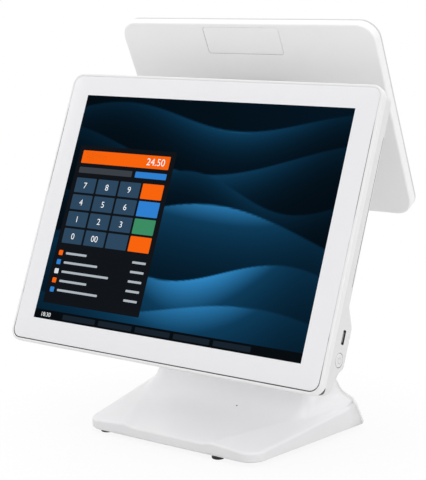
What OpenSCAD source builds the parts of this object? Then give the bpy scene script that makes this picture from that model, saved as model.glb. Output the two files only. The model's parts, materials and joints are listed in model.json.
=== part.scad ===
// Point-of-sale touchscreen terminal: a 15 inch operator screen on a flared
// stand, with a smaller customer display hinged to the back of the head.
// X runs to the operator's right, Y away from the operator, Z up from the counter.

/* [Operator screen] */
// Width of the lit picture
active_w = 304; // [290:1:310]
// Height of the lit picture
active_h = 228; // [216:1:234]
// White border at each side of the picture
border_side = 21.5; // [19:0.5:26]
// White border above the picture
border_top = 20; // [18:0.5:26]
// White border below the picture
border_low = 22; // [20:0.5:28]
// Thickness of the touch glass
glass_t = 3; // [2:0.5:4]
// Corner radius of the touch glass
glass_r = 9; // [5:1:14]
// Thickness of the printed border film
film_t = 0.4; // [0.2:0.1:0.8]
// Lean of the screen from the vertical, in degrees
screen_tilt = 22.5; // [15:0.5:30]
// Height of the picture's centre above the counter
screen_h = 214; // [205:1:230]
// Distance of the picture's centre from the part's origin, along Y
screen_y = -67.5; // [-75:0.5:-60]

/* [Head housing] */
// Width of the frame's lip around the glass
frame_lip = 2.5; // [2:0.5:4]
// Depth of the front frame
frame_d = 8.5; // [7:0.5:10]
// Step from the frame's edge in to the rear housing
house_inset = 2; // [1:0.5:3]
// Corner radius of the rear housing
house_r = 18; // [14:1:24]
// Wall of the rear housing
wall = 2.5; // [2:0.1:3]
// Depth of the housing's thin part, level with the picture's centre
back_d = 25; // [24:0.5:28]
// Taper of the thin part towards its top, in degrees
back_taper = 0.5; // [0:0.5:2]
// Depth of the swelling that holds the electronics
swell_d = 40; // [38:1:46]
// Start of the swelling below the picture's centre
swell_top = 56; // [54:1:60]
// Height over which the swelling rises
swell_rise = 16; // [12:1:20]
// End of the swelling's flat back below the picture's centre
swell_low = 109; // [106:1:112]
// Depth left at the chin, under the swelling
chin_d = 26; // [22:1:30]
// Rounding of the chin's lower edge
chin_r = 6; // [4:0.5:8]
// Rounding of the thin part's rear edges
edge_r = 5; // [3:0.5:6]
// Rounding of the swelling's rear edges
swell_r = 7; // [5:0.5:9]

/* [Display module] */
// Border of the display module at each side of the picture
lcd_side = 11; // [9:0.5:13]
// Border of the display module above and below the picture
lcd_edge = 12; // [10:0.5:14]
// Thickness of the display module
lcd_t = 9.5; // [8:0.5:10]
// Thickness of the glass cell in the display module
cell_t = 1.8; // [1.2:0.1:2.5]
// Thickness of the sheet steel chassis
chassis_t = 1.2; // [1:0.1:1.5]

/* [Circuit boards] */
// Thickness of every circuit board
board_t = 1.6; // [1:0.1:2]
// Width of the main board
main_w = 190; // [170:1:200]
// Height of the main board
main_h = 82; // [78:1:86]
// Gap between the chassis and the main board
standoff_h = 2.4; // [2:0.1:3]
// Thickness of the processor package
chip_t = 2; // [1:0.1:3]
// Height of the heat sink's fins
fin_h = 12; // [8:1:14]

/* [Power button and side socket] */
// Radius of the power button
button_r = 6.2; // [5:0.1:7]
// Travel of the power button
button_travel = 1; // [0.5:0.1:1.5]
// How far the button stands out of the side wall
button_proud = 0.6; // [0.2:0.1:1]
// Depth of the button's centre behind the glass
button_d = 24.5; // [23:0.5:28]
// Distance of the button's centre below the picture's centre
button_z = -103.5; // [-106:0.5:-101]
// Distance of the side socket's centre below the picture's centre
usb_z = -83.5; // [-86:0.5:-81]
// Depth of the side socket's centre behind the glass
usb_d = 24; // [23:0.5:28]
// Long side of the side socket's metal shell
usb_w = 13.2; // [12.8:0.1:13.6]
// Short side of the side socket's metal shell
usb_t = 5.8; // [5.4:0.1:6.2]
// Length of the side socket's metal shell
usb_l = 14; // [12:0.5:16]

/* [Tilt hinge] */
// Place of the tilt axis along Y
hinge_y = -31; // [-33:0.5:-29]
// Height of the tilt axis
hinge_z = 178; // [176:0.5:180]
// Radius of the tilt shaft
shaft_r = 5; // [4:0.5:6]
// Thickness of the hinge's steel
hinge_t = 4; // [3:0.5:5]
// Running clearance of a pin in its bore
pin_gap = 0.05; // [0.02:0.01:0.1]
// Gap that the hinge's ears leave beside the neck
ear_gap = 1; // [0.5:0.5:2]

/* [Customer display] */
// Width of the customer display
cust_w = 289; // [280:1:300]
// Height of the customer display
cust_h = 205; // [198:1:212]
// Corner radius of the customer display
cust_r = 18; // [12:1:24]
// Depth of its rear shell
cust_shell_d = 9.6; // [9:0.2:12]
// Depth of its front frame
cust_frame_d = 2.8; // [2.4:0.2:4]
// Wall of its shells
cust_wall = 2.2; // [2:0.1:2.4]
// Width of its lit picture
cust_active_w = 256; // [240:1:260]
// Height of its lit picture
cust_active_h = 144; // [130:1:150]
// Lean of its face from the vertical, in degrees
cust_tilt = 26.5; // [22:0.5:30]
// Place of its rear face's centre along Y
cust_y = 63.5; // [60:0.5:68]
// Height of its rear face's centre
cust_z = 298.5; // [295:0.5:303]
// Width of the small cover on its back
cover_w = 86; // [70:1:100]
// Height of the small cover on its back
cover_h = 28; // [22:1:34]
// Distance of the small cover below the top edge
cover_drop = 4; // [4:0.5:8]
// Distance of its hinge above the centre of its back
cust_hinge_z = 20; // [15:1:25]
// Distance of its hinge axis from its back
cust_hinge_off = 14; // [13:0.5:16]
// Radius of its hinge pin
cust_pin_r = 3; // [2.5:0.5:4]

/* [Stand] */
// Width of the foot at the front
base_front_w = 194; // [186:1:202]
// Width of the foot at the rear
base_rear_w = 238; // [228:1:246]
// Depth of the foot
base_d = 170; // [164:1:176]
// Place of the foot's front edge along Y
base_front_y = -99; // [-102:0.5:-96]
// Height of the foot's top edge at the front, above the feet
base_front_t = 12; // [10:0.5:14]
// Rise of the foot's top towards the rear, in degrees
base_rise = 4.8; // [4:0.2:6]
// Lean of the foot's rear face, as a run along Y
base_rear_lean = 11; // [8:1:14]
// Radius of the front corners
base_front_r = 18; // [14:1:24]
// Radius of the rear corners
base_rear_r = 7; // [5:1:10]
// Rounding of the foot's top edge
base_edge_r = 4; // [3:0.5:5]
// Wall of the stand's shells
stand_wall = 2.8; // [2.4:0.1:3.2]
// Half width of the neck at the tilt axis
neck_top_w = 55; // [50:1:60]
// Half width of the neck above its flare
neck_low_w = 97; // [92:1:100]
// Height of the flare's upper end
flare_h = 50; // [46:1:56]
// Radius of the neck's upper end, round the tilt axis
neck_r = 15; // [14:0.5:16]
// Distance from the neck's middle to the foot's rear edge, where they meet
neck_back = 20; // [17:1:23]
// Radius of the fillet between the foot's top and the neck's front
neck_fillet = 36; // [28:1:40]
// Thickness of the rear cover's rim
cover_rim = 8; // [7:0.5:10]
// Thickness of the steel bottom plate
plate_t = 2; // [1.5:0.1:3]
// Thickness of the post's sheet steel
post_t = 3; // [2.5:0.5:4]
// Radius of the rubber feet
foot_r = 6; // [5:0.5:8]
// Height of the rubber feet
foot_h = 4; // [3:0.5:5]
// Width of the cable outlet in the rear cover
outlet_w = 40; // [30:1:50]
// Height of the cable outlet in the rear cover
outlet_h = 12; // [10:0.5:13]

/* [Hidden] */
$fn = 64;

fit_gap = 0.3;
thin = 0.01;
skin = 1;

// Operator screen, seen from the front
plate_w = active_w + 2 * border_side;
plate_h = active_h + border_top + border_low;
plate_z = (border_top - border_low) / 2;
frame_w = plate_w + 2 * frame_lip;
frame_h = plate_h + 2 * frame_lip;
frame_r = glass_r + frame_lip;
house_w = frame_w - 2 * house_inset;
house_h = frame_h - 2 * house_inset;
house_low = house_h / 2 - plate_z;
stack_d = glass_t + film_t;
lcd_back = stack_d + lcd_t;
chassis_back = lcd_back + chassis_t;
main_front = chassis_back + standoff_h;
main_back = main_front + board_t;
main_z = -(swell_top + swell_low) / 2;
lcd_w = active_w + 2 * lcd_side;
lcd_h = active_h + 2 * lcd_edge;

// Depth of the housing's thin part at a height z
function back_at(z) = back_d - z * tan(back_taper);

// Colours of the real pieces
white = "#EDEDEF";
pale = "#E2E2E5";
steel = "#9A9DA1";
zinc = "#C3C6C9";
board = "#1F5E3B";
black = "#1B1B1D";

// Directions and roundings
function unit(v) = v / norm(v);

// Arc that rounds corner p between its neighbours a and b with radius r
function corner(a, p, b, r, n) =
    r == 0 ? [p] :
    let (u = unit(a - p), v = unit(b - p), half = acos(u * v) / 2)
    let (c = p + unit(u + v) * r / sin(half))
    let (s = p + u * r / tan(half) - c, e = p + v * r / tan(half) - c)
    let (a0 = atan2(s.y, s.x), sweep = (atan2(e.y, e.x) - a0 + 540) % 360 - 180)
    [for (i = [0:n]) c + r * [cos(a0 + sweep * i / n), sin(a0 + sweep * i / n)]];

// Crossing of the line through p along d with the line through q along e
function meet(p, d, q, e) = p + d * cross(q - p, e) / cross(d, e);

// Outline through pts, anticlockwise, with the edge after each point moved inwards by its own gap
function inset(pts, gaps) =
    let (m = len(pts))
    [for (i = [0:m - 1])
        let (p = pts[i], before = (i + m - 1) % m)
        let (d = unit(p - pts[before]), e = unit(pts[(i + 1) % m] - p))
        meet(p + [-d.y, d.x] * gaps[before], d, p + [-e.y, e.x] * gaps[i], e)];

// Closed outline through pts, with each corner rounded by its own radius
function rounded_outline(pts, radii, n = 8) =
    let (m = len(pts))
    [for (i = [0:m - 1]) each corner(pts[(i + m - 1) % m], pts[i], pts[(i + 1) % m], radii[i], n)];

// Rectangle with round corners, about the origin
module rounded(w, h, r) {
    square([w - 2 * r, h], center = true);
    square([w, h - 2 * r], center = true);
    for (sx = [-1, 1], sy = [-1, 1])
        translate([sx * (w / 2 - r), sy * (h / 2 - r)]) circle(r);
}

// An outline in width and height, made solid from depth d0 to d1
module deep(d0, d1) translate([0, d1, 0]) rotate([90, 0, 0]) linear_extrude(d1 - d0) children();

// An outline in depth and height, made solid across the width w
module across(w) rotate([90, 0, 90]) linear_extrude(w, center = true) children();

// A cylinder along X, from x0 to x1
module rod_x(r, x0, x1) translate([x0, 0, 0]) rotate([0, 90, 0]) cylinder(r = r, h = x1 - x0);

// A cylinder along Y, from y0 to y1
module rod_y(r, y0, y1) translate([0, y0, 0]) rotate([-90, 0, 0]) cylinder(r = r, h = y1 - y0);

// A block given by its lowest and highest corner
module block(low, high) translate(low) cube(high - low);

// Frame of the head: the glass is at depth 0, the picture's centre at height 0
module on_head() translate([0, screen_y, screen_h]) rotate([-screen_tilt, 0, 0]) children();

// Frame on the back of the head's thin part, with Y out of the housing
module on_back() on_head() translate([0, back_d, 0]) rotate([back_taper, 0, 0]) children();

// Frame of the customer display: its back is at depth 0, its glass further along Y
module on_customer() translate([0, cust_y, cust_z]) rotate([cust_tilt, 0, 0]) children();

// A point of the part, as depth and height in a frame that was turned about X
function turned_in(p, origin, angle) =
    let (v = p - origin)
    [v.x * cos(angle) + v.y * sin(angle), v.y * cos(angle) - v.x * sin(angle)];
function turned_out(p, origin, angle) =
    origin + [p.x * cos(angle) - p.y * sin(angle), p.x * sin(angle) + p.y * cos(angle)];

back_angle = back_taper - screen_tilt;
back_origin = turned_out([back_d, 0], [screen_y, screen_h], -screen_tilt);
hinge_at = turned_in([hinge_y, hinge_z], back_origin, back_angle);
cust_axis = turned_out([-cust_hinge_off, cust_hinge_z], [cust_y, cust_z], cust_tilt);
arm_at = turned_in(cust_axis, back_origin, back_angle);

// OPERATOR SCREEN

module touch_glass() color("#F4F5F7") on_head()
    translate([0, 0, plate_z]) deep(0, glass_t) rounded(plate_w, plate_h, glass_r);

film_trim = 0.5;
module border_film() color(white) on_head() difference() {
    translate([0, 0, plate_z]) deep(glass_t, stack_d)
        rounded(plate_w - 2 * film_trim, plate_h - 2 * film_trim, glass_r - film_trim);
    deep(glass_t - skin, stack_d + skin) square([active_w, active_h], center = true);
}

lcd_gap = 0.5;
module front_frame() color(white) on_head() difference() {
    translate([0, 0, plate_z]) deep(0, frame_d) rounded(frame_w, frame_h, frame_r);
    translate([0, 0, plate_z]) deep(-skin, stack_d)
        rounded(plate_w + 2 * fit_gap, plate_h + 2 * fit_gap, glass_r + fit_gap);
    deep(stack_d - skin, frame_d + skin)
        square([lcd_w + 2 * lcd_gap, lcd_h + 2 * lcd_gap], center = true);
    housing_screw_places() rod_y(screw_r + pin_gap, frame_d - frame_bite - fit_gap, frame_d + skin);
}

cell_border = 2;
cell_d = 0.2;
module lcd_cell() color("#0B1420") on_head()
    deep(stack_d + cell_d, stack_d + cell_d + cell_t)
        square([active_w + 2 * cell_border, active_h + 2 * cell_border], center = true);

module lcd_backlight() color(zinc) on_head() difference() {
    deep(stack_d, lcd_back) rounded(lcd_w, lcd_h, cell_border);
    deep(stack_d - skin, stack_d + cell_d + cell_t)
        square([active_w + 2 * cell_border + fit_gap, active_h + 2 * cell_border + fit_gap], center = true);
}

// HEAD HOUSING

// Cross section of the housing's back, flat at depth 0 with round rear corners
section_d = swell_d + 4 * swell_r;
section_h = house_h + 2 * house_r;
module back_section(w, r) {
    translate([-w / 2 + r, -section_d]) square([w - 2 * r, section_d]);
    translate([-w / 2, -section_d]) square([w, section_d - r]);
    for (s = [-1, 1]) translate([s * (w / 2 - r), -r]) circle(r);
}

// Side outline of the swelling, drawn in by the wall g
function swell_outline(g) = rounded_outline(inset([
    [0, -house_low],
    [chin_d, -house_low],
    [swell_d, -swell_low],
    [swell_d, -swell_top - swell_rise],
    [back_at(-swell_top), -swell_top],
    [0, -swell_top]
], [g, g, g, g, 0, 0]), [0, chin_r - g, swell_r - g, swell_r - g, 0, 0]);

// Outer form of the rear housing, drawn in by the wall g
module house_form(g) intersection() {
    translate([0, 0, plate_z]) deep(g > 0 ? frame_d - skin : frame_d, swell_d + skin)
        rounded(house_w - 2 * g, house_h - 2 * g, house_r - g);
    union() {
        translate([0, back_d, 0]) rotate([back_taper, 0, 0]) translate([0, -g, 0])
            linear_extrude(section_h, center = true) back_section(house_w - 2 * g, edge_r - g / 2);
        intersection() {
            translate([0, swell_d - g, 0]) linear_extrude(section_h, center = true)
                back_section(house_w - 2 * g, swell_r - g / 2);
            across(house_w) polygon(swell_outline(g));
        }
    }
}

screw_r = 1.5;
head_r = 2.8;
head_h = 1.4;
boss_r = 3.2;
frame_bite = 3.5;
screw_edge = 6;
screw_mid_z = 30;
screw_low_z = -44;
housing_screw_z = [active_h / 2 - screw_edge, screw_mid_z, screw_low_z];
housing_screw_x = (lcd_w / 2 + house_w / 2 - wall) / 2;

// The places of the screws between the housing and the front frame
module housing_screw_places()
    for (s = [-1, 1], z = housing_screw_z) translate([s * housing_screw_x, 0, z]) children();

hinge_screw_x = 42;
hinge_screw_z = [-32, 8];
hinge_boss_r = 5;
// The places of the screws that hold the hinge bracket
module hinge_screw_places()
    for (s = [-1, 1], z = hinge_screw_z) translate([s * hinge_screw_x, 0, z]) children();

arm_screw_x = 30;
arm_screw_z = [58, 92];
// The places of the screws that hold the customer display's arm
module arm_screw_places()
    for (s = [-1, 1], z = arm_screw_z) translate([s * arm_screw_x, 0, z]) children();

vent_w = 3;
vent_h = 34;
vent_pitch = 8;
vent_count = 9;
vent_x = 100;
vent_z = 40;
grille_h = 18;
grille_pitch = 6;
grille_count = 5;
speaker_x = 128;
speaker_z = -(swell_top + swell_rise + swell_low) / 2;
wall_x = house_w / 2;
board_x = wall_x - usb_l - button_proud;
side_post_r = 2.4;
side_post_d = usb_d + usb_t / 2 + 2 * side_post_r;
side_post_z = [usb_z - usb_w / 2 - side_post_r, usb_z + usb_w / 2 + side_post_r];

// The slope under the swelling, which carries the port cover
chin_from = [swell_d, -swell_low];
chin_to = [chin_d, -house_low];
chin_mid = (chin_from + chin_to) / 2;
chin_angle = atan2(chin_from.y - chin_to.y, chin_from.x - chin_to.x);
port_w = 200;
port_h = 22;

// A fine groove down each side of the housing, in front of its rear edge
seam_d = 20.5;
seam_w = 0.6;
seam_t = 0.8;
seam_from = -40;
seam_to = 95;

// Frame on the chin's slope, with Z out of the housing
module on_chin() translate([0, chin_mid.x, chin_mid.y]) rotate([chin_angle + 180, 0, 0]) children();

module rear_housing() color(pale) on_head() difference() {
    union() {
        difference() {
            house_form(0);
            house_form(wall);
        }
        intersection() {
            house_form(0);
            union() {
                housing_screw_places() rod_y(boss_r, frame_d, section_d);
                hinge_screw_places() rod_y(hinge_boss_r, chassis_back, section_d);
                arm_screw_places() rod_y(hinge_boss_r, chassis_back, section_d);
            }
        }
        for (z = side_post_z) translate([0, side_post_d, z])
            rod_x(side_post_r, board_x, wall_x - wall + thin);
    }
    housing_screw_places() {
        rod_y(screw_r + pin_gap, 0, section_d);
        rod_y(head_r + fit_gap, housing_head_d, section_d);
    }
    hinge_screw_places() rod_y(screw_r + pin_gap, 0, section_d);
    arm_screw_places() rod_y(screw_r + pin_gap, 0, section_d);
    for (s = [-1, 1], i = [0:vent_count - 1])
        translate([s * vent_x + (i - (vent_count - 1) / 2) * vent_pitch, back_d, vent_z])
            cube([vent_w, 8 * wall, vent_h], center = true);
    for (s = [-1, 1], i = [0:grille_count - 1])
        translate([s * speaker_x + (i - (grille_count - 1) / 2) * grille_pitch, swell_d, speaker_z])
            cube([vent_w, 3 * wall, grille_h], center = true);
    translate([0, usb_d, usb_z])
        block([wall_x - 2 * wall, -usb_t / 2 - fit_gap, -usb_w / 2 - fit_gap],
              [wall_x + skin, usb_t / 2 + fit_gap, usb_w / 2 + fit_gap]);
    translate([0, button_d, button_z]) rod_x(button_r + fit_gap, wall_x - 2 * wall, wall_x + skin);
    on_chin() cube([port_w + 2 * fit_gap, port_h + 2 * fit_gap, 6 * wall], center = true);
    for (s = [-1, 1]) translate([s * wall_x, seam_d, (seam_from + seam_to) / 2])
        cube([2 * seam_t, seam_w, seam_to - seam_from], center = true);
}

// A snap-on lid over the ports, with a shallow finger notch
notch_w = 24;
notch_d = 0.8;
module port_cover() color(white) on_head() on_chin() difference() {
    translate([0, 0, -wall]) linear_extrude(wall) rounded(port_w, port_h, 1.5);
    translate([0, port_h / 2 - notch_d * 3, 0]) cube([notch_w, notch_d * 4, 2 * notch_d], center = true);
}

module screw_out(l) {
    rod_y(head_r, 0, head_h);
    rod_y(screw_r, -l, 0);
}

housing_head_d = 16;
module housing_screws() color(zinc) on_head() housing_screw_places()
    translate([0, housing_head_d, 0]) screw_out(housing_head_d - frame_d + frame_bite);

// ELECTRONICS

chassis_edge = 5;
chassis_w = lcd_w - 2 * chassis_edge;
chassis_h = lcd_h - 2 * chassis_edge;
board_edge = 6;
module chassis_plate() color(zinc) on_head() difference() {
    union() {
        deep(lcd_back, chassis_back) square([chassis_w, chassis_h], center = true);
        for (s = [-1, 1], t = [-1, 1])
            translate([s * (main_w / 2 - board_edge), 0, main_z + t * (main_h / 2 - board_edge)])
                rod_y(boss_r, lcd_back, main_front);
    }
    hinge_screw_places() rod_y(screw_r + pin_gap, lcd_back - skin, chassis_back + skin);
    arm_screw_places() rod_y(screw_r + pin_gap, lcd_back - skin, chassis_back + skin);
}

chip_w = 24;
slot_l = 70;
slot_t = 2;
slot_w = 8;
card_w = 67.6;
card_h = 22;
card_t = 1.2;
card_x = 52;
card_z = main_z + main_h / 2 - card_h / 2;
module main_board() color(board) on_head() {
    deep(main_front, main_back) translate([0, main_z]) square([main_w, main_h], center = true);
    deep(main_back - thin, main_back + chip_t) translate([0, main_z]) square(chip_w, center = true);
    for (s = [-1, 1]) deep(main_back - thin, main_back + slot_t)
        translate([s * card_x, card_z - slot_w]) square([slot_l, slot_w], center = true);
}

fin_count = 12;
fin_t = 1.5;
sink_w = 88;
sink_h = 22;
sink_base = 2.5;
module heat_sink() color("#B9BCC0") on_head() translate([0, main_back + chip_t, main_z]) {
    deep(0, sink_base) square([sink_w, sink_h], center = true);
    for (i = [0:fin_count - 1])
        deep(sink_base - thin, sink_base + fin_h)
            translate([-sink_w / 2 + fin_t / 2 + i * (sink_w - fin_t) / (fin_count - 1), 0])
                square([fin_t, sink_h], center = true);
}

// A card that lies on one of the main board's slots
module slot_card(x) on_head() deep(main_back + slot_t, main_back + slot_t + card_t)
    translate([x, card_z]) square([card_w, card_h], center = true);

module memory_module() color(board) slot_card(card_x);

module storage_card() color("#20242B") slot_card(-card_x);

// A connector on the main board, whose mouth looks down at the port cover
port_mouth = -swell_low - 5;
port_deep = 14;
port_back = 3;
port_lip = 1;
module socket(x, w, t) on_head() difference() {
    block([x - w / 2, main_back, port_mouth], [x + w / 2, main_back + t, port_mouth + port_deep]);
    block([x - w / 2 + port_lip, main_back + port_lip, port_mouth - skin],
          [x + w / 2 - port_lip, main_back + t - port_lip, port_mouth + port_deep - port_back]);
}

usb_port_edge = 29;
usb_port_pitch = 18;
usb_port_w = 14.5;
usb_port_t = 13;
usb_first_x = usb_port_edge - main_w / 2;
usb_port_x = [usb_first_x, usb_first_x + usb_port_pitch, 8];
lan_x = -18;
lan_w = 16;
serial_edge = 53;
serial_x = main_w / 2 - serial_edge;
serial_w = 31;
serial_t = 12;
module usb_sockets() color(zinc) for (x = usb_port_x) socket(x, usb_port_w, usb_port_t);

module lan_socket() color(zinc) socket(lan_x, lan_w, usb_port_t);

module serial_socket() color(zinc) socket(serial_x, serial_w, serial_t);

inlet_edge = 17.5;
inlet_x = main_w / 2 - inlet_edge;
inlet_w = 11;
inlet_bore_r = 3.2;
inlet_pin_r = 1;
inlet_at = [inlet_x, main_back + inlet_w / 2, port_mouth];
module dc_inlet() color(black) on_head() translate(inlet_at) difference() {
    block([-inlet_w / 2, -inlet_w / 2, 0], [inlet_w / 2, inlet_w / 2, port_deep]);
    translate([0, 0, -skin]) difference() {
        cylinder(r = inlet_bore_r, h = port_deep - port_back + skin);
        cylinder(r = inlet_pin_r, h = port_deep);
    }
}

touch_board = [60, 20];
touch_board_at = [-90, -16];
module touch_controller() color(board) on_head() deep(chassis_back, chassis_back + board_t)
    translate(touch_board_at) square(touch_board, center = true);

speaker_w = 40;
speaker_h = 22;
speaker_t = 12;
module speakers() color(black) on_head() for (s = [-1, 1])
    deep(swell_d - wall - speaker_t, swell_d - wall)
        translate([s * speaker_x, speaker_z]) square([speaker_w, speaker_h], center = true);

// POWER BUTTON AND SIDE SOCKET

side_edge = 3;
side_board_d = [button_d - button_r - side_edge, side_post_d + side_post_r];
side_board_z = [button_z - button_r, side_post_z.y + side_post_r];
module side_board() color(board) on_head()
    block([board_x - board_t, side_board_d.x, side_board_z.x], [board_x, side_board_d.y, side_board_z.y]);

tongue_w = 11;
tongue_t = 1.8;
tongue_gap = 0.8;
tongue_back = 1;
usb_sheet = 0.5;
usb_rear = 2;
module side_usb_socket() color(zinc) on_head() translate([board_x, usb_d, usb_z]) {
    difference() {
        block([0, -usb_t / 2, -usb_w / 2], [usb_l, usb_t / 2, usb_w / 2]);
        block([usb_rear, -usb_t / 2 + usb_sheet, -usb_w / 2 + usb_sheet],
              [usb_l + skin, usb_t / 2 - usb_sheet, usb_w / 2 - usb_sheet]);
    }
    translate([0, usb_t / 2 - usb_sheet - tongue_gap, 0])
        block([usb_rear - thin, -tongue_t, -tongue_w / 2], [usb_l - tongue_back, 0, tongue_w / 2]);
}

switch_w = 6;
switch_t = 3.5;
plunger_r = 1.7;
plunger_l = 1;
module button_switch() color(black) on_head() translate([board_x, button_d, button_z]) {
    block([0, -switch_w / 2, -switch_w / 2], [switch_t, switch_w / 2, switch_w / 2]);
    rod_x(plunger_r, switch_t - thin, switch_t + plunger_l);
}

flange_t = 1.4;
flange_rim = 1.3;
stem_r = 2;
module power_button() color(white) on_head() translate([0, button_d, button_z]) {
    rod_x(button_r, wall_x - wall - flange_t, wall_x + button_proud);
    rod_x(button_r + flange_rim, wall_x - wall - flange_t - pin_gap, wall_x - wall - pin_gap);
    rod_x(stem_r, board_x + switch_t + plunger_l + button_travel + fit_gap, wall_x - wall - flange_t);
}

// TILT HINGE

ear_x = neck_top_w + ear_gap;
leaf_t = 2.5;
leaf_z = [-44, 20];
ear_wall = 6;
ear_r = shaft_r + ear_wall;

// A steel leaf on the back of the head, with an ear at each side of the neck
module hinge_bracket() color(steel) on_back() difference() {
    union() {
        block([-ear_x - hinge_t, 0, leaf_z.x], [ear_x + hinge_t, leaf_t, leaf_z.y]);
        for (s = [-1, 1]) translate([s * (ear_x + hinge_t / 2), 0, 0]) {
            across(hinge_t) polygon([[0, leaf_z.x], [leaf_t, leaf_z.x], [hinge_at.x, hinge_at.y - ear_r],
                                     [hinge_at.x, hinge_at.y + ear_r], [leaf_t, leaf_z.y], [0, leaf_z.y]]);
            translate([0, hinge_at.x, hinge_at.y]) rod_x(ear_r, -hinge_t / 2, hinge_t / 2);
        }
    }
    translate([0, hinge_at.x, hinge_at.y]) rod_x(shaft_r + pin_gap, -2 * ear_x, 2 * ear_x);
    hinge_back_places() rod_y(screw_r + pin_gap, -skin, leaf_t + skin);
}

// The hinge and arm screws, seen from the back's own frame
module hinge_back_places() for (s = [-1, 1], z = hinge_screw_z)
    translate([s * hinge_screw_x, 0, z / cos(back_taper)]) rotate([-back_taper, 0, 0]) children();
module arm_back_places() for (s = [-1, 1], z = arm_screw_z)
    translate([s * arm_screw_x, 0, z / cos(back_taper)]) rotate([-back_taper, 0, 0]) children();

// Seat of a screw's head, which stands square to the glass on a sheet t thick on the tapered back
function head_seat(t) = t / cos(back_taper) + head_r * tan(back_taper);

hinge_bite = 10;
module hinge_screws() color(zinc) on_back() hinge_back_places()
    translate([0, head_seat(leaf_t), 0]) screw_out(hinge_bite);

module tilt_axis() translate([0, hinge_y, hinge_z]) children();

nut_t = 5;
nut_r = 8;
washer_t = 0.8;
washer_r = 9;
module tilt_shaft() color(steel) tilt_axis()
    rod_x(shaft_r, -ear_x - hinge_t - washer_t - nut_t, ear_x + hinge_t + washer_t + nut_t);

module friction_washers() color("#6E7278") tilt_axis() for (s = [-1, 1]) mirror([s < 0 ? 1 : 0, 0, 0])
    difference() {
        rod_x(washer_r, ear_x + hinge_t, ear_x + hinge_t + washer_t);
        rod_x(shaft_r + pin_gap, ear_x, ear_x + 2 * hinge_t);
    }

module shaft_nuts() color(zinc) tilt_axis() for (s = [-1, 1]) mirror([s < 0 ? 1 : 0, 0, 0])
    translate([ear_x + hinge_t + washer_t, 0, 0]) rotate([0, 90, 0]) difference() {
        cylinder(r = nut_r, h = nut_t, $fn = 6);
        translate([0, 0, -skin]) cylinder(r = shaft_r + pin_gap, h = nut_t + 2 * skin);
    }

// ARM OF THE CUSTOMER DISPLAY

arm_half = 18;
arm_plate_z = [48, 102];
arm_plate_w = 80;
arm_plate_t = 3;
barrel_wall = 4;
barrel_r = cust_pin_r + barrel_wall;
arm_rib = 4;
arm_low = -108;
arm_high = 135;
module customer_arm() color(pale) on_back() difference() {
    union() {
        block([-arm_plate_w / 2, 0, arm_plate_z.x], [arm_plate_w / 2, arm_plate_t, arm_plate_z.y]);
        across(2 * arm_half) polygon([
            [0, arm_plate_z.x + arm_rib], [arm_plate_t, arm_plate_z.x + arm_rib],
            arm_at + barrel_r * [cos(arm_low), sin(arm_low)],
            arm_at + barrel_r * [cos(arm_high), sin(arm_high)],
            [arm_plate_t, arm_plate_z.y], [0, arm_plate_z.y]
        ]);
        translate([0, arm_at.x, arm_at.y]) rod_x(barrel_r, -arm_half, arm_half);
    }
    translate([0, arm_at.x, arm_at.y]) rod_x(cust_pin_r + pin_gap, -2 * arm_half, 2 * arm_half);
    arm_back_places() rod_y(screw_r + pin_gap, -skin, arm_plate_t + skin);
}

arm_bite = 8;
module arm_screws() color(zinc) on_back() arm_back_places()
    translate([0, head_seat(arm_plate_t), 0]) screw_out(arm_bite);

// CUSTOMER DISPLAY

cust_rim = 3;
cust_glass_t = 1.9;
cust_film_t = 0.3;
cust_d = cust_shell_d + cust_frame_d;
cust_glass_w = cust_w - 2 * cust_rim;
cust_glass_h = cust_h - 2 * cust_rim;
cust_film_d = cust_d - cust_glass_t - cust_film_t;
cust_cell_edge = 6;
cust_cell_w = cust_active_w + 2 * cust_cell_edge;
cust_cell_h = cust_active_h + 2 * cust_cell_edge;
cust_cell_t = 3.2;
cust_tray_t = 1.2;
cust_tray_d = cust_film_d - cust_cell_t - cust_tray_t;

module customer_glass() color("#15171B") on_customer()
    deep(cust_d - cust_glass_t, cust_d) rounded(cust_glass_w, cust_glass_h, cust_r - cust_rim);

module customer_film() color(white) on_customer() difference() {
    deep(cust_film_d, cust_d - cust_glass_t)
        rounded(cust_glass_w - 2 * film_trim, cust_glass_h - 2 * film_trim, cust_r - cust_rim - film_trim);
    deep(cust_film_d - skin, cust_d) square([cust_active_w, cust_active_h], center = true);
}

module customer_frame() color(white) on_customer() difference() {
    deep(cust_shell_d, cust_d) rounded(cust_w, cust_h, cust_r);
    deep(cust_film_d, cust_d + skin)
        rounded(cust_glass_w + 2 * fit_gap, cust_glass_h + 2 * fit_gap, cust_r - cust_rim + fit_gap);
    deep(cust_shell_d - skin, cust_d)
        square([cust_cell_w + 2 * fit_gap, cust_cell_h + 2 * fit_gap], center = true);
}

module customer_cell() color("#0B1420") on_customer()
    deep(cust_film_d - cust_cell_t, cust_film_d) square([cust_cell_w, cust_cell_h], center = true);

module customer_backlight() color(zinc) on_customer()
    deep(cust_tray_d, cust_tray_d + cust_tray_t) rounded(cust_cell_w, cust_cell_h, cust_wall);

cust_board = [90, 40];
cust_board_z = -30;
module customer_board() color(board) on_customer() deep(cust_tray_d - board_t, cust_tray_d)
    translate([0, cust_board_z]) square(cust_board, center = true);

cover_t = 1.2;
cover_z = cust_h / 2 - cover_drop - cover_h / 2;
cover_r = 3;
groove = 0.5;
leaf_w = 76;
leaf_h = 40;
leaf_edge = 6;
leaf_screw_x = leaf_w / 2 - leaf_edge;
leaf_screw_z = [cust_hinge_z - leaf_h / 2 + leaf_edge, cust_hinge_z + leaf_h / 2 - leaf_edge];
cell_post_in = 14;
module leaf_screw_places()
    for (s = [-1, 1], z = leaf_screw_z) translate([s * leaf_screw_x, 0, z]) children();

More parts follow.
